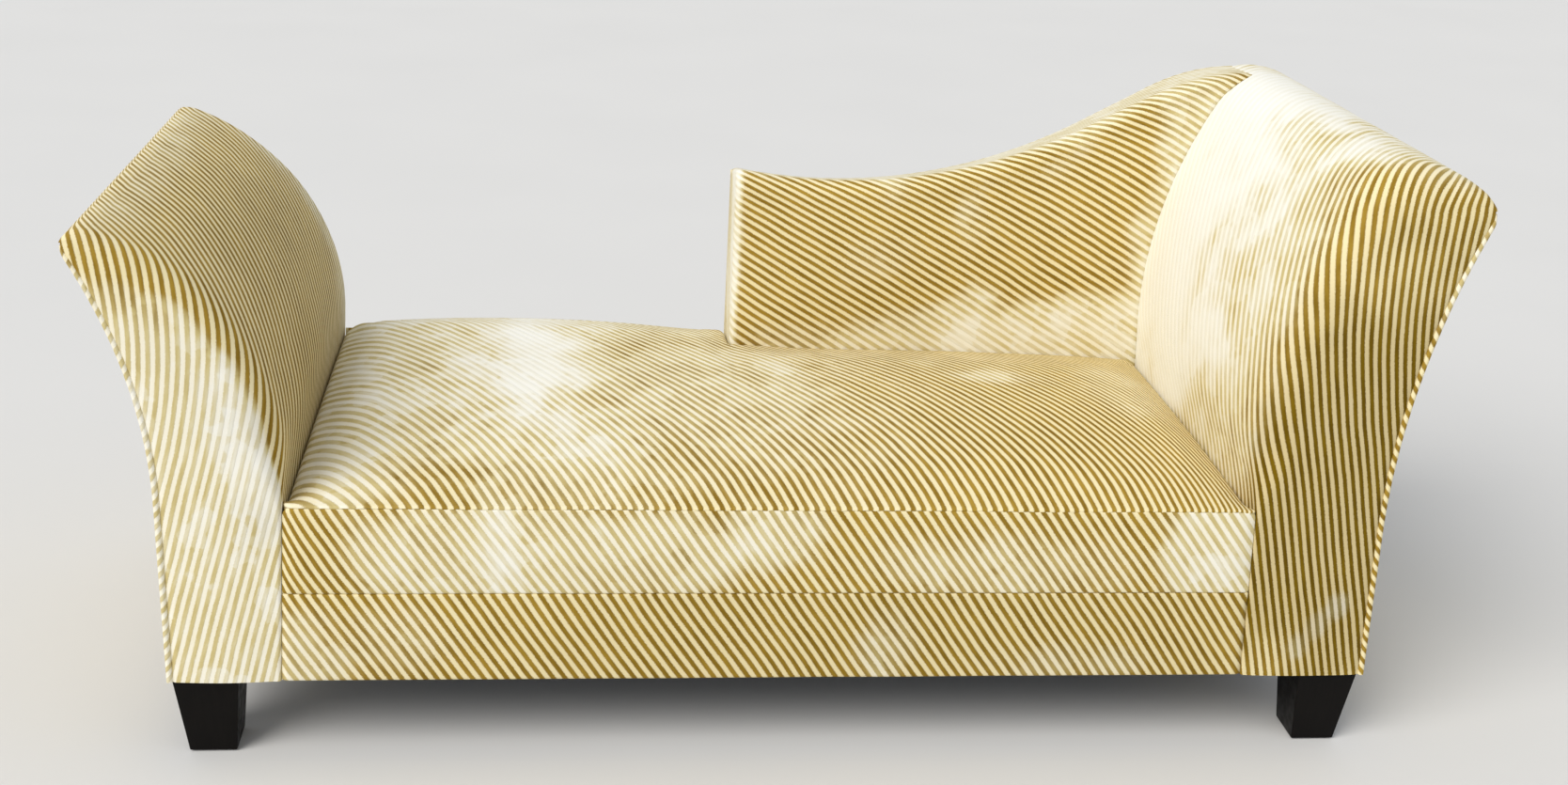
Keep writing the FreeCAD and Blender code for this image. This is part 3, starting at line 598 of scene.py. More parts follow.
def seat_columns():
    inset = [SIDE_ROLL * (1 - cos(QUARTER * k / 7)) for k in range(7)]
    xs = [SEAT_LEFT + HAIR + d for d in inset] + [SEAT_RIGHT - HAIR - d for d in inset]
    xs += spread(SEAT_LEFT + SIDE_ROLL, SEAT_RIGHT - SIDE_ROLL, 170)
    xs = [x for x in xs if not NOTCH - CORNER_ROUND < x < NOTCH + 0.004]
    xs += [NOTCH - CORNER_ROUND * (1 - sin(QUARTER * k / 10)) for k in range(11)] + [NOTCH + HAIR]
    return sorted(xs)


def seat_ring(x):
    low_z, y0, y1 = low("seat_foam")[2], seat_front(x), seat_rear(x)
    inner = max(high("front_rail_cover")[1] + HAIR, y0 + 0.0006)
    ys = [y0 + FRONT_ROLL * (1 - cos(QUARTER * k / 5)) for k in range(6)]
    ys += spread(ys[-1], BACK_FACE - REAR_ROLL, 46, 1)
    ys += spread(ys[-1], y1 - REAR_ROLL, 9, 1)
    ys += [y1 - REAR_ROLL * cos(QUARTER * k / 6) for k in range(1, 7)]
    ring = [((x, y, seat_height(x, y)), seat_cloth(x, y)) for y in ys]
    under = ((y1, SEAT_SEAM - 0.05, y1 + 0.05), (y1, low_z, y1 + 0.16), ((inner + y1) / 2, low_z, 0.5),
             (inner, low_z, 0.8), (inner, SEAT_SEAM - 0.004, 0.95), (y0, SEAT_SEAM, y0))
    return ring + [((x, y, z), seat_cloth(x, along)) for y, z, along in under]


def seat_is_held(x, y, z):
    edge = min(y - seat_front(x), seat_rear(x) - y, x - SEAT_LEFT, SEAT_RIGHT - x)
    beside_back = abs(x - NOTCH) < 0.012 and y > BACK_FACE - 0.03
    return edge < 0.012 or z < SEAT_SEAM - 0.01 or beside_back


SEAT_SPOTS = [
    ((-0.39, 0.12, 0.44), (0.12, 0.32, 0.1), 0.9, 1.0), ((-0.34, -0.26, 0.43), (0.13, 0.22, 0.1), 0.45, 0.9),
    ((-0.45, 0.34, 0.43), (0.38, 0.12, 0.1), 0.5, 0.9), ((-0.64, -0.02, 0.42), (0.14, 0.46, 0.1), 0.6, 0.7),
    ((0.03, 0.08, 0.44), (0.04, 0.09, 0.1), 0.45, 0.7), ((0.40, 0.07, 0.44), (0.08, 0.03, 0.1), 0.4, 0.9),
    ((0.20, 0.18, 0.44), (0.28, 0.09, 0.1), 0.2, 0.9), ((-0.02, -0.10, 0.44), (0.26, 0.28, 0.1), 0.25, 1.0),
    ((-0.16, 0.04, 0.44), (0.18, 0.26, 0.1), 0.3, 1.0), ((0.62, 0.05, 0.43), (0.07, 0.12, 0.1), 0.25, 0.8)]
seat_pad = cloth_mesh("seat_pad", [seat_ring(x) for x in seat_columns()], SEAT_SPOTS, closed=True)
swell(seat_pad, seat_is_held, SEAT_SWELL)
place_piece(seat_pad, "stripe_fabric", "seat_foam", "seat_top_cover", "seat_burlap", fill=0.85)

# %% [markdown]
# The back is a thin pad whose top edge swoops in two arcs joined by a straight line. The arcs are
# those of the swoop rail in the frame, so the line is worked out, not traced: the rise of the middle
# line decides how large both arcs can be.

# %% Top line of the back
APEX_X, DIP_X = RIGHT_BASE - 0.050, BACK_END + 0.175
DIP_Z, TOP_Z = 0.708, 0.934
RISE = 1.7 * atan2(TOP_Z - DIP_Z, APEX_X - DIP_X)
RADII = ((APEX_X - DIP_X) * tan(RISE) - (TOP_Z - DIP_Z)) / (1 / cos(RISE) - 1)
DIP_R = RADII * 0.735
TOP_R = RADII - DIP_R


def swoop(x):
    """Height of the top line of the back."""
    if x < DIP_X + DIP_R * sin(RISE):
        return DIP_Z + DIP_R - sqrt(DIP_R ** 2 - (x - DIP_X) ** 2)
    if x < APEX_X - TOP_R * sin(RISE):
        return DIP_Z + DIP_R * (1 - cos(RISE)) + (x - DIP_X - DIP_R * sin(RISE)) * tan(RISE)
    return TOP_Z - TOP_R + sqrt(TOP_R ** 2 - (min(x, APEX_X) - APEX_X) ** 2)


print("swoop radii", round(DIP_R, 3), round(TOP_R, 3))

# %% [markdown]
# The front edge of the back's top is rolled and a little higher than the rear one, so the top falls
# to the rear; the rear edge is crisp. The right side is cut to the inner face of the head end, and
# the free left side is rolled. Each column is a ring: up the front, round the roll, over the top,
# and back down behind the padding.

# %% Back pad
TOP_ROLL, END_ROLL, BACK_PAD, REAR_LIP, TOP_LIFT, HOOK = 0.026, 0.014, 0.0365, 0.008, 0.021, 0.034
HEAD_TOP = high("right_arm_cover")[2] - 0.0008
BACK_REACH = RIGHT.inner_x(0.6) - BACK_END
BACK_SWELL, BACK_PUFF, BACK_UNEVEN = 0.004, 0.004, 0.0018


def back_cloth(x, height, top):
    crowd = 0.028 * exp(-max(top - height, 0) / 0.08)
    return (0.81 * height + crowd + 0.5 * x, 0.81 * x - 0.5 * height)


def back_x(t, z):
    return BACK_END + t * (RIGHT.inner_x(min(z, HEAD_TOP)) + 0.003 - BACK_END)


def back_ring(t):
    bottom, rear = low("back_cover")[2], REAR - 0.0005
    x_top = back_x(t, 0.8)
    for _ in range(8):
        x_top = back_x(t, swoop(x_top))
    tuck, over = edge_drop(x_top - BACK_END, END_ROLL), unrolled(x_top - BACK_END, END_ROLL)
    rear_top = swoop(x_top) - 0.0003 - 0.8 * tuck
    top = rear_top + TOP_LIFT * (1 - 0.45 * smoothstep(0.60, 0.90, x_top)) * (1 - 0.8 * smoothstep(0.94, 1.0, t))
    face = BACK_FACE + 0.002 + tuck + edge_drop((1 - t) * BACK_REACH, 0.007)
    roll = TOP_ROLL * (1 - 0.4 * tuck / END_ROLL)
    points = []
    for z in spread(bottom, top - roll, 36):
        puff = BACK_PUFF * sin(pi * min(1, max(0, (z - SEAT_SEAM) / (top - SEAT_SEAM))))
        puff *= smoothstep(0, 0.2, t) * smoothstep(0, 0.1, 1 - t)
        points.append((face - puff - BACK_UNEVEN * wobble(x_top * 5, 11, z * 6), z, z))
    for a in spread(0, QUARTER, 10, 1):
        points.append((face + roll * (1 - cos(a)), top - roll + roll * sin(a), top - roll + roll * a))
    flat_end = rear - REAR_LIP
    flat = flat_end - face - roll
    for k in spread(0, 1, 5, 1):
        points.append((face + roll + flat * k, top + (rear_top - top) * k, top + 0.57 * roll + flat * k))
    for a in spread(0, QUARTER, 5, 1):
        drop = REAR_LIP * (1 - cos(a))
        points.append((flat_end + REAR_LIP * sin(a), rear_top - drop, top + 0.1 + REAR_LIP * a))
    hook, inner = rear_top - bottom, rear
    if x_top - BACK_END > BACK_PAD:
        hook, inner = HOOK, BACK_FACE + BACK_PAD
    points += [(rear, z, 1.2) for z in spread(rear_top - REAR_LIP, rear_top - hook, 3, 1)]
    points += [(inner, z, 1.3) for z in spread(rear_top - hook, bottom, 6, 1)]
    return [((back_x(t, z), y, z), back_cloth(back_x(t, z) - over, h, top)) for y, z, h in points]


def back_is_held(x, y, z):
    return (y > BACK_FACE + 0.03 or z < SEAT_SEAM or x < BACK_END + 0.02 or z > swoop(x) - 0.03
            or RIGHT.inner_x(min(z, HEAD_TOP)) - x < 0.02)


columns = [END_ROLL * (1 - cos(QUARTER * k / 7)) / BACK_REACH for k in range(8)]
columns += spread(columns[-1], 1, 96, 1)
# Most spots are wear on the face; the spot on the free left edge and the long one over the top paint the sheen of the
# roll as pale colour, a painted highlight.
BACK_WEAR_AND_SHEEN = [
    ((0.52, BACK_FACE, 0.44), (0.25, 0.05, 0.085), 0.6, 0.5), ((0.28, BACK_FACE, 0.41), (0.32, 0.05, 0.07), 0.5, 0.7),
    ((0.62, BACK_FACE, 0.50), (0.08, 0.05, 0.05), 0.3, 0.4),
    ((-0.040, BACK_FACE + 0.03, 0.56), (0.014, 0.1, 0.5), 0.75, 0.6),
    ((0.74, BACK_FACE, 0.58), (0.06, 0.05, 0.15), 0.65, 0.9),
    ((0.79, BACK_FACE, 0.80), (0.07, 0.05, 0.13), 0.65, 0.9),
    ((0.45, BACK_FACE + 0.08, 0.75), (0.9, 0.065, 0.6), 0.6, 0.4),
    ((0.23, BACK_FACE, 0.60), (0.07, 0.05, 0.04), 0.2, 0.9)]
back_pad = cloth_mesh("back_upholstery", [back_ring(t) for t in columns], BACK_WEAR_AND_SHEEN, closed=True)
swell(back_pad, back_is_held, BACK_SWELL)
place_piece(back_pad, "stripe_fabric", "back_cover", "back_padding", "back_burlap", fill=0.9)

# %% [markdown]
# Below the seat pad lie two flat panels: the boxed border and the cloth of the front rail. Each is
# a shallow pillow between the ends, turned in along its edges, so a fine seam stays between them.
# The border has round upper corners and small gathers under the seam. Near the left end the cloth
# is pulled, and its stripes bend. Such narrow tight strips need no simulation.

# %% Front panels
PANEL_TURN, PANEL_COLUMNS, PANEL_GAP, STRIPE_RUN = 0.003, 180, 0.0005, 0.79
PANEL_UNEVEN, PANEL_GATHER, STRIPE_WAVE, PULL_REACH = 0.0010, 0.0006, 0.003, 0.03


def panel_column(t, z0, z1, bulge, rise, shift, pull, corner):
    behind = high("front_rail_cover")[1]
    layers = [(SEAT_FRONT + edge_drop(min(z - z0, z1 - z), PANEL_TURN), z) for z in crowded(z0, z1, 26)]
    column = []
    for y, z in layers + [(behind, z1 - 0.0006), (behind, z0 + 0.0006)]:
        x0 = LEFT.inner_x(z) + PANEL_GAP + edge_drop(z1 - z, corner)
        x1 = RIGHT.inner_x(z) - PANEL_GAP - 0.5 * edge_drop(z1 - z, corner)
        x = x0 + t * (x1 - x0)
        side = min(x - x0, x1 - x)
        if y < behind:
            swollen = sin(pi * (z - z0) / (z1 - z0)) ** 0.8 * smoothstep(0, 0.03, side)
            y += edge_drop(side, PANEL_TURN) - bulge * swollen + PANEL_UNEVEN * wobble(x * 8, z * 9, shift * 90)
            y -= PANEL_GATHER * puckers(x, 0.031, 5 * wobble(x * 7, 4, shift), z1 - z, 0.012)
        wave = STRIPE_WAVE * wobble(x * 3, z * 5, shift * 40) - pull * exp(-(x - x0) / PULL_REACH)
        c = STRIPE_RUN * x + (rise + 0.05 * x) * (z - z1) + wave + shift
        column.append(((x, y, z), (c, rise * x - STRIPE_RUN * z)))
    return column


def front_panel(name, node, fill, spots, deep, **cut):
    ts = [t - 0.02 * sin(2 * pi * t) / (2 * pi) for t in spread(0, 1, PANEL_COLUMNS)]
    piece = cloth_mesh(name, [panel_column(t, **cut) for t in ts], spots, deep, closed=True, sharp=70)
    return place_piece(piece, "stripe_fabric", node, fill=fill)


BORDER_SPOTS = [
    ((-0.50, FRONT, 0.33), (0.15, 0.05, 0.10), 0.46, 0.7), ((-0.36, FRONT, 0.34), (0.10, 0.05, 0.13), 0.46, 0.45),
    ((-0.20, FRONT, 0.33), (0.14, 0.05, 0.08), 0.42, 0.7), ((-0.03, FRONT, 0.38), (0.07, 0.05, 0.06), 0.48, 0.5),
    ((0.33, FRONT, 0.31), (0.20, 0.05, 0.06), 0.32, 0.8), ((0.65, FRONT, 0.34), (0.09, 0.05, 0.12), 0.6, 0.35)]
RAIL_SPOTS = [
    ((-0.71, FRONT, 0.16), (0.06, 0.05, 0.08), 0.45, 0.8), ((-0.57, FRONT, 0.19), (0.08, 0.05, 0.06), 0.26, 0.8),
    ((0.16, FRONT, 0.18), (0.05, 0.05, 0.07), 0.3, 0.7), ((0.45, FRONT, 0.15), (0.12, 0.05, 0.03), 0.22, 0.9)]
# Painted shade: a darker band along the rail.
RAIL_PAINTED_SHADE = [((0.20, FRONT, 0.19), (0.80, 0.1, 0.2), 0.34, 0.6)]
border = front_panel("seat_border_panel", "seat_border", 0.8, BORDER_SPOTS, (), z0=RAIL_SEAM, z1=SEAT_SEAM,
                     bulge=0.0035, rise=0.555, shift=0.003, pull=0.010, corner=0.013)
rail_panel = front_panel("front_rail_panel", "front_rail_cover", 0.9, RAIL_SPOTS, RAIL_PAINTED_SHADE, z0=BASE, z1=RAIL_SEAM,
                         bulge=0.0012, rise=0.53, shift=0.0, pull=0.002, corner=0.0005)

# %% [markdown]
# A welt is a cord sewn into a strip of the same cloth, cut on the bias, so its stripes cross it as
# short dashes. Each end has one up the outer edge of its front, thinning out at the tip. A curve with
# a round bevel would do, but a swept grid keeps cloth coordinates, so the dashes come from the same
# stripe as the rest.

# %% Welts
WELT_R, WELT_SET, WELT_SIDES, BIAS = 0.0045, 0.002, 12, 0.7071
WELT_SPOTS = [((-0.92, FRONT, 0.36), (0.3, 0.1, 0.38), 0.65, 0.4), ((1.0, FRONT, 0.80), (0.2, 0.1, 0.1), 0.4, 0.6)]


def welt(side, end):
    path = [(end.outer_u(z) - WELT_SET, z) for z in spread(BASE, end.corner[1] - 0.004, 150)]
    rows, length = [], 0.0
    for before, (u, z) in zip(path[:1] + path, path):
        length += dist(before, (u, z))
        thin = 0.25 + 0.75 * smoothstep(0, 0.02, path[-1][1] - z)
        row = []
        for a in spread(0, 2 * pi, WELT_SIDES):
            r = WELT_R * (1 + 0.05 * wobble(z * 40, a, end.sign)) * thin
            place = (end.x(u + r * cos(a)), FRONT + WELT_SET + r * sin(a), z)
            row.append((place, ((length + WELT_R * a) * BIAS, (length - WELT_R * a) * BIAS)))
        rows.append(row)
    piece = cloth_mesh(side + "_welt", rows, WELT_SPOTS, closed=True, sharp=80)
    return place_piece(piece, "stripe_fabric", side + "_arm_welt")


welts = [welt("left", LEFT), welt("right", RIGHT)]

# %% [markdown]
# The outside of both ends is plain cloth, stretched flat and turned in at the edges.

# %% Outside cloths
CLOTH_THICK, TURN_IN, SIDE_SAG = 0.0022, 0.003, 0.0015


def stretched_cloth(name, rows, node):
    piece = cloth_mesh(name, rows)
    thick = piece.modifiers.new("cloth", "SOLIDIFY")
    thick.thickness, thick.offset = CLOTH_THICK, -1
    place_piece(piece, "stripe_fabric", node)
    return piece


def sagging(i, j, rows, columns):
    """A hollow over a grid, 0 along its rim and 1 in the middle."""
    return sin(pi * i / rows) * sin(pi * j / columns)


def outside_cloth(side, end):
    front, rear = FRONT + 0.0062, high(side + "_arm_outside")[1]
    top = min(high(side + "_arm_outside")[2], end.corner[1] - 0.001)
    rows = []
    for i, z in enumerate(crowded(BASE, top, 60)):
        edge = rear - edge_drop(top - z, TIP_ROUND)
        row = []
        for j, y in enumerate(crowded(front, edge, 40)):
            rim = max(min(z - BASE, top - z, y - front, edge - y), 0)
            u = end.outer_u(z) - edge_drop(rim, TURN_IN) - SIDE_SAG * sagging(i, j, 60, 40)
            row.append(((end.x(u), y, z), (y, z)))
        rows.append(row if end.sign < 0 else row[::-1])
    return stretched_cloth(side + "_outside_cloth", rows, side + "_arm_outside")


outside_cloths = [outside_cloth("left", LEFT), outside_cloth("right", RIGHT)]

# %% [markdown]
# The rear of the foot end, the rear border of the seat and the whole rear of the back lie in one
# plane. One function takes the (x, z) points of such a cloth, sinks its rim a little and bends it
# forward at a tip. The sheet behind the back has four curved sides, so its points are blended from
# its border lines.

# %% Rear cloths
FAR_AWAY, RIM_SINK, REAR_SAG, HEM = (9, 9), 0.0012, 0.0012, 0.0006


def rear_cloth(name, node, grid, tip=FAR_AWAY):
    last_i, last_j = len(grid) - 1, len(grid[0]) - 1
    rows = []
    for i, points in enumerate(grid):
        row = []
        for j, (x, z) in enumerate(points):
            rim = RIM_SINK if i in (0, last_i) or j in (0, last_j) else 0
            sag = REAR_SAG * sagging(i, j, last_i, last_j) + edge_drop(dist((x, z), tip), TIP_ROUND)
            row.append(((x, REAR_FACE - rim - sag, z), (x, z)))
        rows.append(row)
    return stretched_cloth(name, rows, node)


def foot_end_rear():
    grid = []
    for share in spread(0, 1, 60):
        (u, z), (nu, nz) = LEFT.inner(LEFT.length * share)
        z_out = BASE + (LEFT.corner[1] - BASE) * share
        u_out = LEFT.outer_u(z_out)
        wide = hypot(u_out - u, z_out - z)
        inset = min(max(REAR_EDGE * rear_rounding(z) - TURN_IN, HEM), EDGE_SHARE * wide)
        u, z = u + nu * inset, max(z + nz * inset, BASE)
        grid.append([(LEFT.x(a), b) for a, b in zip(spread(u, u_out, 20), spread(z, z_out, 20))])
    return grid


def back_top_line():
    """Along the swoop to the seam with the head end, then over that end to its tip."""
    seam = bisect(RIGHT.line[2], RIGHT.length, lambda r: RIGHT.inner(r)[0][1] < swoop(RIGHT.x(RIGHT.inner(r)[0][0])))
    seam_x = RIGHT.x(RIGHT.inner(seam)[0][0])
    line = []
    for k, x in enumerate(spread(BACK_END, seam_x, 70)):
        line.append((x, swoop(x) - REAR_LIP - (REAR_EDGE - REAR_LIP) * smoothstep(60, 70, k)))
    for k, run in enumerate(spread(seam, RIGHT.length, 40, 1), 1):
        (u, z), (nu, nz) = RIGHT.inner(run)
        inset = REAR_EDGE * (1 - smoothstep(30, 40, k))
        line.append((RIGHT.x(u + nu * inset), z + nz * inset))
    return line


def back_rear():
    line, corner, base_right = back_top_line(), RIGHT.tip_place(), RIGHT.x(RIGHT.outer_u(BASE))
    grid = []
    for t in spread(0, 1, 40):
        side_x = RIGHT.x(RIGHT.outer_u(BASE + t * (corner[1] - BASE)))
        bow = side_x - (base_right + t * (corner[0] - base_right))
        row = []
        for k, (x, z) in enumerate(line):
            s = k / (len(line) - 1)
            x_low = BACK_END + (base_right - BACK_END) * s
            row.append((x_low + t * (x - x_low) + s ** 6 * bow, BASE + t * (z - BASE)))
        grid.append(row)
    return grid


seat_rear_grid = [[(x, z) for x in spread(LEFT.inner_x(z) + HEM, BACK_END - HEM, 50)]
                  for z in spread(BASE, SEAT_SEAM, 24)]
outside_cloths += [
    rear_cloth("left_rear_cloth", "left_arm_rear_panel", foot_end_rear(), LEFT.tip_place()),
    rear_cloth("back_rear_cloth", "back_outside", back_rear(), RIGHT.tip_place()),
    rear_cloth("seat_rear_cloth", "seat_rear_border", seat_rear_grid)]

# %% [markdown]
# The feet are tapered blocks with slightly softened edges. The CAD solid gives the eight corners;
# a Bevel modifier rounds them as sanding and lacquer would.

# %% Feet
SANDED, LEVEL = 0.0022, 0.0005


def foot(name):
    source = bpy.data.objects[name]
    places = [source.matrix_world @ v.co for v in source.data.vertices]
    corners = []
    for z in (min(p.z for p in places), max(p.z for p in places)):
        ring = [p for p in places if abs(p.z - z) < LEVEL]
        x0, x1 = min(p.x for p in ring), max(p.x for p in ring)
        y0, y1 = min(p.y for p in ring), max(p.y for p in ring)
        corners += [(x0, y0, z), (x1, y0, z), (x1, y1, z), (x0, y1, z)]
    mesh = bpy.data.meshes.new(name + "_block")
    mesh.from_pydata(corners, [], grid_faces(2, 4, True))
    clean_mesh(mesh, 60)
    piece = add_object(name + "_block", mesh)
    soft = piece.modifiers.new("sanded", "BEVEL")
    soft.width, soft.segments, soft.harden_normals = SANDED, 3, True
    return place_piece(piece, "dark_wood", name)


feet = [foot("foot_" + where) for where in ("front_left", "front_right", "rear_left", "rear_right")]

# %% [markdown]
# Under the base a black dust cloth is stapled to the rails. It sags a little between them. It could
# be simulated, but so small a sag is easier to write down.

# %% Dust cloth
DUST_ROWS, DUST_COLUMNS, DUST_THICK, DUST_SAG, DUST_GAP = 56, 28, 0.0007, 0.006, 0.0003
(dust_x0, dust_y0, _z), (dust_x1, dust_y1, dust_top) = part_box("dust_cover")
dust_rows = []
for i, x in enumerate(spread(dust_x0, dust_x1, DUST_ROWS)):
    row = []
    for j, y in enumerate(spread(dust_y0, dust_y1, DUST_COLUMNS)):
        hollow = sagging(i, j, DUST_ROWS, DUST_COLUMNS)
        sag = DUST_SAG * hollow ** 2 + 0.001 * wobble(i / DUST_ROWS * 9, j / DUST_COLUMNS * 5, 1) * hollow
        row.append(((x, y, dust_top - DUST_GAP - max(sag, 0)), (x, y)))
    dust_rows.append(row)
dust_cloth = cloth_mesh("dust_cloth", dust_rows)
thick = dust_cloth.modifiers.new("cloth", "SOLIDIFY")
thick.thickness, thick.offset = DUST_THICK, 1
place_piece(dust_cloth, "dust_cloth", "dust_cover")

# %% [markdown]
# The seat straps are flat webbing. Each follows the place of its CAD strap, with its edges thinned.
# One CAD node holds several straps, so its mesh is first parted into its separate solids.

# %% Straps
STRAP_STEPS = 40
STRAP_OUTLINE = [(0.0, 0.5), (0.08, 0.9), (0.2, 1.0), (0.5, 1.0), (0.8, 1.0), (0.92, 0.9), (1.0, 0.5),
                 (0.92, 0.1), (0.5, 0.0), (0.08, 0.1)]


def loose_boxes(node):
    """Boxes of the separate solids inside one CAD node."""
    source = bpy.data.objects[node]
    bm = bmesh.new()
    bm.from_mesh(source.data)
    bmesh.ops.transform(bm, matrix=source.matrix_world, verts=bm.verts)
    bmesh.ops.remove_doubles(bm, verts=bm.verts, dist=0.00005)
    left, boxes = set(bm.verts), []
    while left:
        stack = [left.pop()]
        group = list(stack)
        while stack:
            near = {v for edge in stack.pop().link_edges for v in edge.verts} & left
            left -= near
            stack += near
            group += near
        boxes.append([(min(v.co[k] for v in group), max(v.co[k] for v in group)) for k in range(3)])
    bm.free()
    return sorted(boxes)


def strap_piece(name, node, along):
    places, faces = [], []
    for box in loose_boxes(node):
        faces += grid_faces(STRAP_STEPS + 1, len(STRAP_OUTLINE), True, len(places))
        (b0, b1), (z0, z1) = box[1 - along], box[2]
        for a in spread(*box[along], STRAP_STEPS):
            for w, h in STRAP_OUTLINE:
                b, z = b0 + (b1 - b0) * w, z0 + (z1 - z0) * h
                places.append((b, a, z) if along else (a, b, z))
    mesh = bpy.data.meshes.new(name)
    mesh.from_pydata(places, [], faces)
    clean_mesh(mesh, 60)
    return place_piece(add_object(name, mesh), "strap", node)


straps = [strap_piece("cross_strap_webbing", "seat_cross_straps", 1),
          strap_piece("long_strap_webbing", "seat_long_straps", 0)]

# %% [markdown]
# Finishes are built from nodes, so they hold at any distance and need no picture. A small class keeps
# one material and adds its nodes: an input is a plain value or another node's output, and each short
# method returns the output to plug in next.

# %% Node helper
class Finish:
    def __init__(self, name, **constants):
        self.material = bpy.data.materials.new(name)
        self.material.use_nodes = True
        self.tree = self.material.node_tree
        self.skin = self.tree.nodes["Principled BSDF"]
        self.plug(self.skin, {key.replace("_", " "): value for key, value in constants.items()})

    def plug(self, node, inputs):
        for key, value in inputs.items():
            if isinstance(value, bpy.types.NodeSocket):
                self.tree.links.new(value, node.inputs[key])
            else:
                node.inputs[key].default_value = value
        return node

    def add(self, kind, **inputs):
        return self.plug(self.tree.nodes.new("ShaderNode" + kind), inputs)

    def where(self):
        return self.add("TexCoord").outputs["Object"]

    def calc(self, operation, *values, kind="Math"):
        node = self.add(kind)
        node.operation = operation
        return self.plug(node, dict(enumerate(values))).outputs[0]

    def stretch(self, vector, scales):
        return self.calc("MULTIPLY", vector, scales, kind="VectorMath")

    def cloud(self, vector, scale, detail=2.0, rough=0.5):
        return self.add("TexNoise", Vector=vector, Scale=scale, Detail=detail, Roughness=rough).outputs[0]

    def span(self, *values):
        """A value from one range to another: value, from, to and, if not 0 to 1, the new ends."""
        node = self.plug(self.add("MapRange"), dict(enumerate(values)))
        node.interpolation_type = "SMOOTHSTEP"
        return node.outputs[0]

    def blend(self, share, first, second):
        node = self.add("Mix")
        node.data_type = "RGBA"
        return self.plug(node, {0: share, 6: first, 7: second}).outputs[2]

    def marked(self, attribute):
        node = self.add("Attribute")
        node.attribute_name = attribute
        return node.outputs["Fac"]

    def done(self, colour, rough, height=None, strength=0.0, distance=0.0):
        self.plug(self.skin, {"Base Color": colour, "Roughness": rough})
        if height:
            bump = self.add("Bump", Height=height, Strength=strength, Distance=distance)
            self.plug(self.skin, {"Normal": bump.outputs[0]})
        return self.material


def rgb(*values):
    return (*values, 1)


print("materials before the finishes:", len(bpy.data.materials))

# %% [markdown]
# The cover is a striped velvet: a gold pile stripe, half the repeat wide, stands on a cream ground.
# The UV map gives metres across the stripes, so the stripe is a ping-pong of that coordinate with a
# little wander and a fuzzy edge. Where the pile is rubbed, both colours fade; the same fading also
# paints the bright sheen of the pile as pale colour, a painted highlight. The edge of a faded place
# is ragged, because each stripe of pile lies down at a slightly different spot. Where the deep mark
# is set, both colours are darker, the gold more than the ground: painted shade. Sheen gives the pale
# bloom that velvet shows at grazing angles.

# %% Striped velvet
STRIPE_REPEAT, STRIPE_EDGE = 0.0134, (0.0006, 0.0024)
DARK_GOLD, LIGHT_GOLD = rgb(0.235, 0.135, 0.011), rgb(0.45, 0.285, 0.041)
# The bare colours serve both worn-out pile and the painted highlight of the pile's sheen.
RUBBED_GOLD, BARE_AND_SHEEN_GOLD = rgb(0.68, 0.57, 0.27), rgb(0.955, 0.945, 0.86)
DARK_CREAM, LIGHT_CREAM, BARE_AND_SHEEN_CREAM = rgb(0.87, 0.745, 0.42), rgb(0.95, 0.845, 0.54), rgb(0.985, 0.98, 0.93)


def striped_velvet():
    f = Finish("striped_velvet", Sheen_Weight=0.16, Sheen_Roughness=0.35, Sheen_Tint=rgb(1.0, 0.86, 0.52),
               Specular_IOR_Level=0.08)
    lie = f.add("UVMap")
    lie.uv_map = "cloth"
    lie, where = lie.outputs["UV"], f.where()
    wander = f.calc("MULTIPLY_ADD", f.cloud(where, 7.0), 0.006, -0.003)
    across = f.calc("ADD", f.add("SeparateXYZ", Vector=lie).outputs["X"], wander)
    fuzz = f.cloud(where, 850.0, 1.0)
    edge = f.calc("MULTIPLY_ADD", fuzz, 0.0030, f.calc("PINGPONG", across, STRIPE_REPEAT / 2))
    pile = f.span(edge, *(STRIPE_REPEAT * 0.25 + v for v in STRIPE_EDGE))

    streak = f.cloud(f.stretch(lie, (75.0, 16.0, 1.0)), 1.0, 3.0, 0.6)
    cloud = f.cloud(where, 5.5, 4.0, 0.6)
    crush = f.span(f.cloud(where, 11.0, 3.0, 0.55), 0.50, 0.525, -0.06, 0.06)
    # The first mark is wear and painted highlight of sheen; the second is painted shade.
    wear_and_sheen, deep = f.marked("wear_and_sheen"), f.marked("deep")
    brink = f.calc("MULTIPLY", f.calc("MULTIPLY_ADD", wear_and_sheen, -4.0, 4.0), wear_and_sheen)
    stir = f.calc("MULTIPLY_ADD", streak, 0.60, f.calc("MULTIPLY_ADD", cloud, 0.32, -0.46))
    rub_and_sheen = f.calc("MULTIPLY_ADD", brink, f.calc("ADD", stir, crush), wear_and_sheen)

    tone = f.calc("MULTIPLY_ADD", streak, 0.7, f.calc("MULTIPLY", cloud, 0.35))
    gold = f.blend(f.span(tone, 0.30, 0.75), DARK_GOLD, LIGHT_GOLD)
    gold = f.blend(f.span(rub_and_sheen, 0.0, 0.65), gold, RUBBED_GOLD)
    gold = f.blend(f.span(rub_and_sheen, 0.5, 1.0), gold, BARE_AND_SHEEN_GOLD)
    ground = f.blend(rub_and_sheen, f.blend(cloud, DARK_CREAM, LIGHT_CREAM), BARE_AND_SHEEN_CREAM)
    # Painted shade: where the deep mark is set, gold and ground are darkened.
    shaded_gold = f.add("HueSaturation", Color=gold, Value=0.44, Saturation=1.10)
    shaded_ground = f.add("HueSaturation", Color=ground, Hue=0.49, Value=0.71, Saturation=1.22)
    gold = f.blend(deep, gold, shaded_gold.outputs[0])
    ground = f.blend(deep, ground, shaded_ground.outputs[0])
    height = f.calc("MULTIPLY_ADD", fuzz, 0.35, pile)
    return f.done(f.blend(pile, ground, gold), f.span(pile, 0.0, 1.0, 0.9, 0.72), height, 0.55, 0.0008)


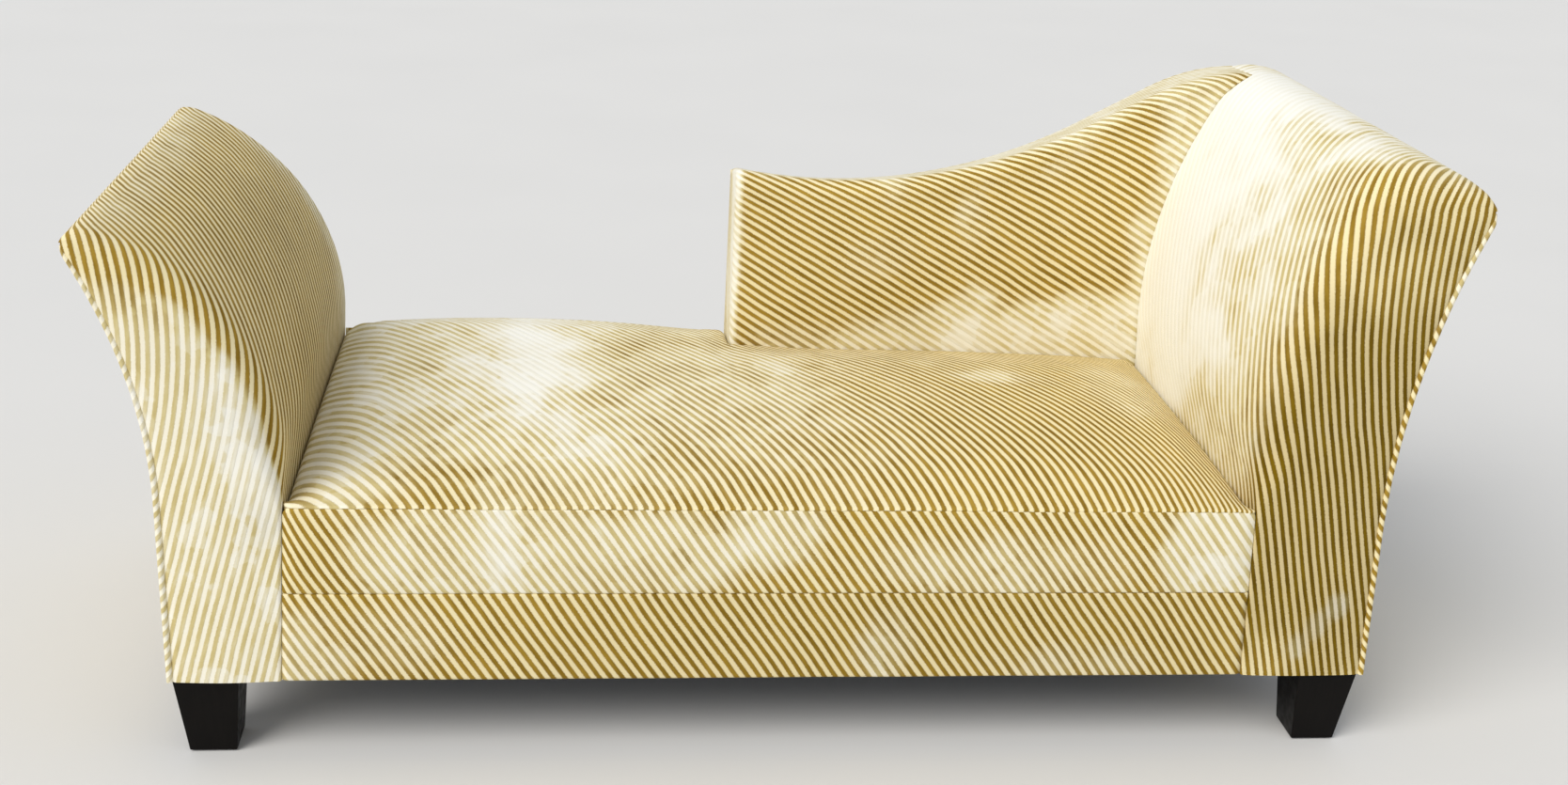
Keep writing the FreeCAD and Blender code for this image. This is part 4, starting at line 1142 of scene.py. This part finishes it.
def dress(pieces, material):
    for piece in pieces:
        piece.data.materials.append(material)
    print(material.name, "on", len(pieces), "pieces")


dress([left_end, right_end, seat_pad, back_pad, border, rail_panel, *welts, *outside_cloths], striped_velvet())

# %% [markdown]
# The feet have a near-black lacquer over wood: a faint grain shows in its gloss. The frame inside is
# pale hardwood with long grain. Both use stretched noise in the frame's own coordinates.

# %% Woods
def lacquered_foot():
    f = Finish("black_lacquer", Specular_IOR_Level=0.10)
    where = f.where()
    grain = f.cloud(f.stretch(where, (160.0, 160.0, 14.0)), 1.0, 4.0, 0.65)
    colour = f.blend(grain, rgb(0.002, 0.0017, 0.0015), rgb(0.007, 0.0055, 0.0045))
    return f.done(colour, f.span(f.cloud(where, 60.0, 3.0), 0.3, 0.7, 0.30, 0.48), grain, 0.25, 0.0004)


def frame_wood():
    f = Finish("frame_hardwood")
    fibre = f.stretch(f.where(), (9.0, 60.0, 60.0))
    colour = f.blend(f.cloud(fibre, 1.0, 5.0, 0.6), rgb(0.42, 0.27, 0.14), rgb(0.68, 0.50, 0.31))
    pores = f.cloud(fibre, 9.0, 2.0)
    return f.done(colour, f.span(pores, 0.3, 0.7, 0.55, 0.75), pores, 0.3, 0.0005)


hardwood = frame_wood()
dress(feet, lacquered_foot())

# %% [markdown]
# The hidden finishes are plain but real: a woven black dust cloth, jute webbing with its cross
# threads, zinc plated bolts and nylon glides. The floor has a faint cloud, so it isn't one flat tone.
# The CAD nodes that stay keep their own shape and only get one of these finishes, by the name of
# their slot.

# %% Hidden finishes and CAD nodes
def woven(name, dark, light, threads, rough):
    f = Finish(name)
    where = f.where()
    lie = f.add("SeparateXYZ", Vector=where)
    warp, weft = (f.calc("SINE", f.calc("MULTIPLY", lie.outputs[axis], threads)) for axis in "XY")
    weave = f.span(f.calc("MULTIPLY", warp, weft), -0.6, 0.6)
    blotch = f.cloud(where, 40.0, 3.0)
    share = f.calc("MULTIPLY_ADD", blotch, 0.5, f.calc("MULTIPLY", weave, 0.5))
    return f.done(f.blend(share, dark, light), f.span(blotch, 0.3, 0.7, rough - 0.08, rough), weave, 0.5, 0.0006)


def clouded(name, dark, light, scale, rough_low, rough_high, metal=0.0):
    f = Finish(name, Metallic=metal)
    cloud = f.cloud(f.where(), scale, 4.0)
    return f.done(f.blend(cloud, dark, light), f.span(cloud, 0.3, 0.7, rough_low, rough_high))


dress([dust_cloth], woven("dust_cambric", rgb(0.010, 0.010, 0.011), rgb(0.035, 0.034, 0.036), 2600.0, 0.95))
dress(straps, woven("jute_webbing", rgb(0.32, 0.21, 0.10), rgb(0.60, 0.45, 0.26), 2000.0, 0.92))
dress([floor], clouded("pale_floor", rgb(0.76, 0.755, 0.745), rgb(0.78, 0.775, 0.765), 1.5, 0.7, 0.8))
zinc = clouded("zinc_steel", rgb(0.45, 0.46, 0.47), rgb(0.66, 0.67, 0.68), 90.0, 0.28, 0.45, 1.0)
nylon = clouded("nylon_glide", rgb(0.70, 0.69, 0.65), rgb(0.80, 0.79, 0.75), 120.0, 0.4, 0.55)
dressed = 0
for part in [o for o in bpy.data.objects if o.type == "MESH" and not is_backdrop(o)]:
    old = part.data.materials[0].name.split(".")[0] if part.data.materials and part.data.materials[0] else ""
    finish = {"hardwood": hardwood, "steel": zinc, "nylon": nylon}.get(old)
    if finish and not part.hide_render:
        part.data.materials[0] = finish
        dressed += 1
print("CAD nodes with a new finish:", dressed)
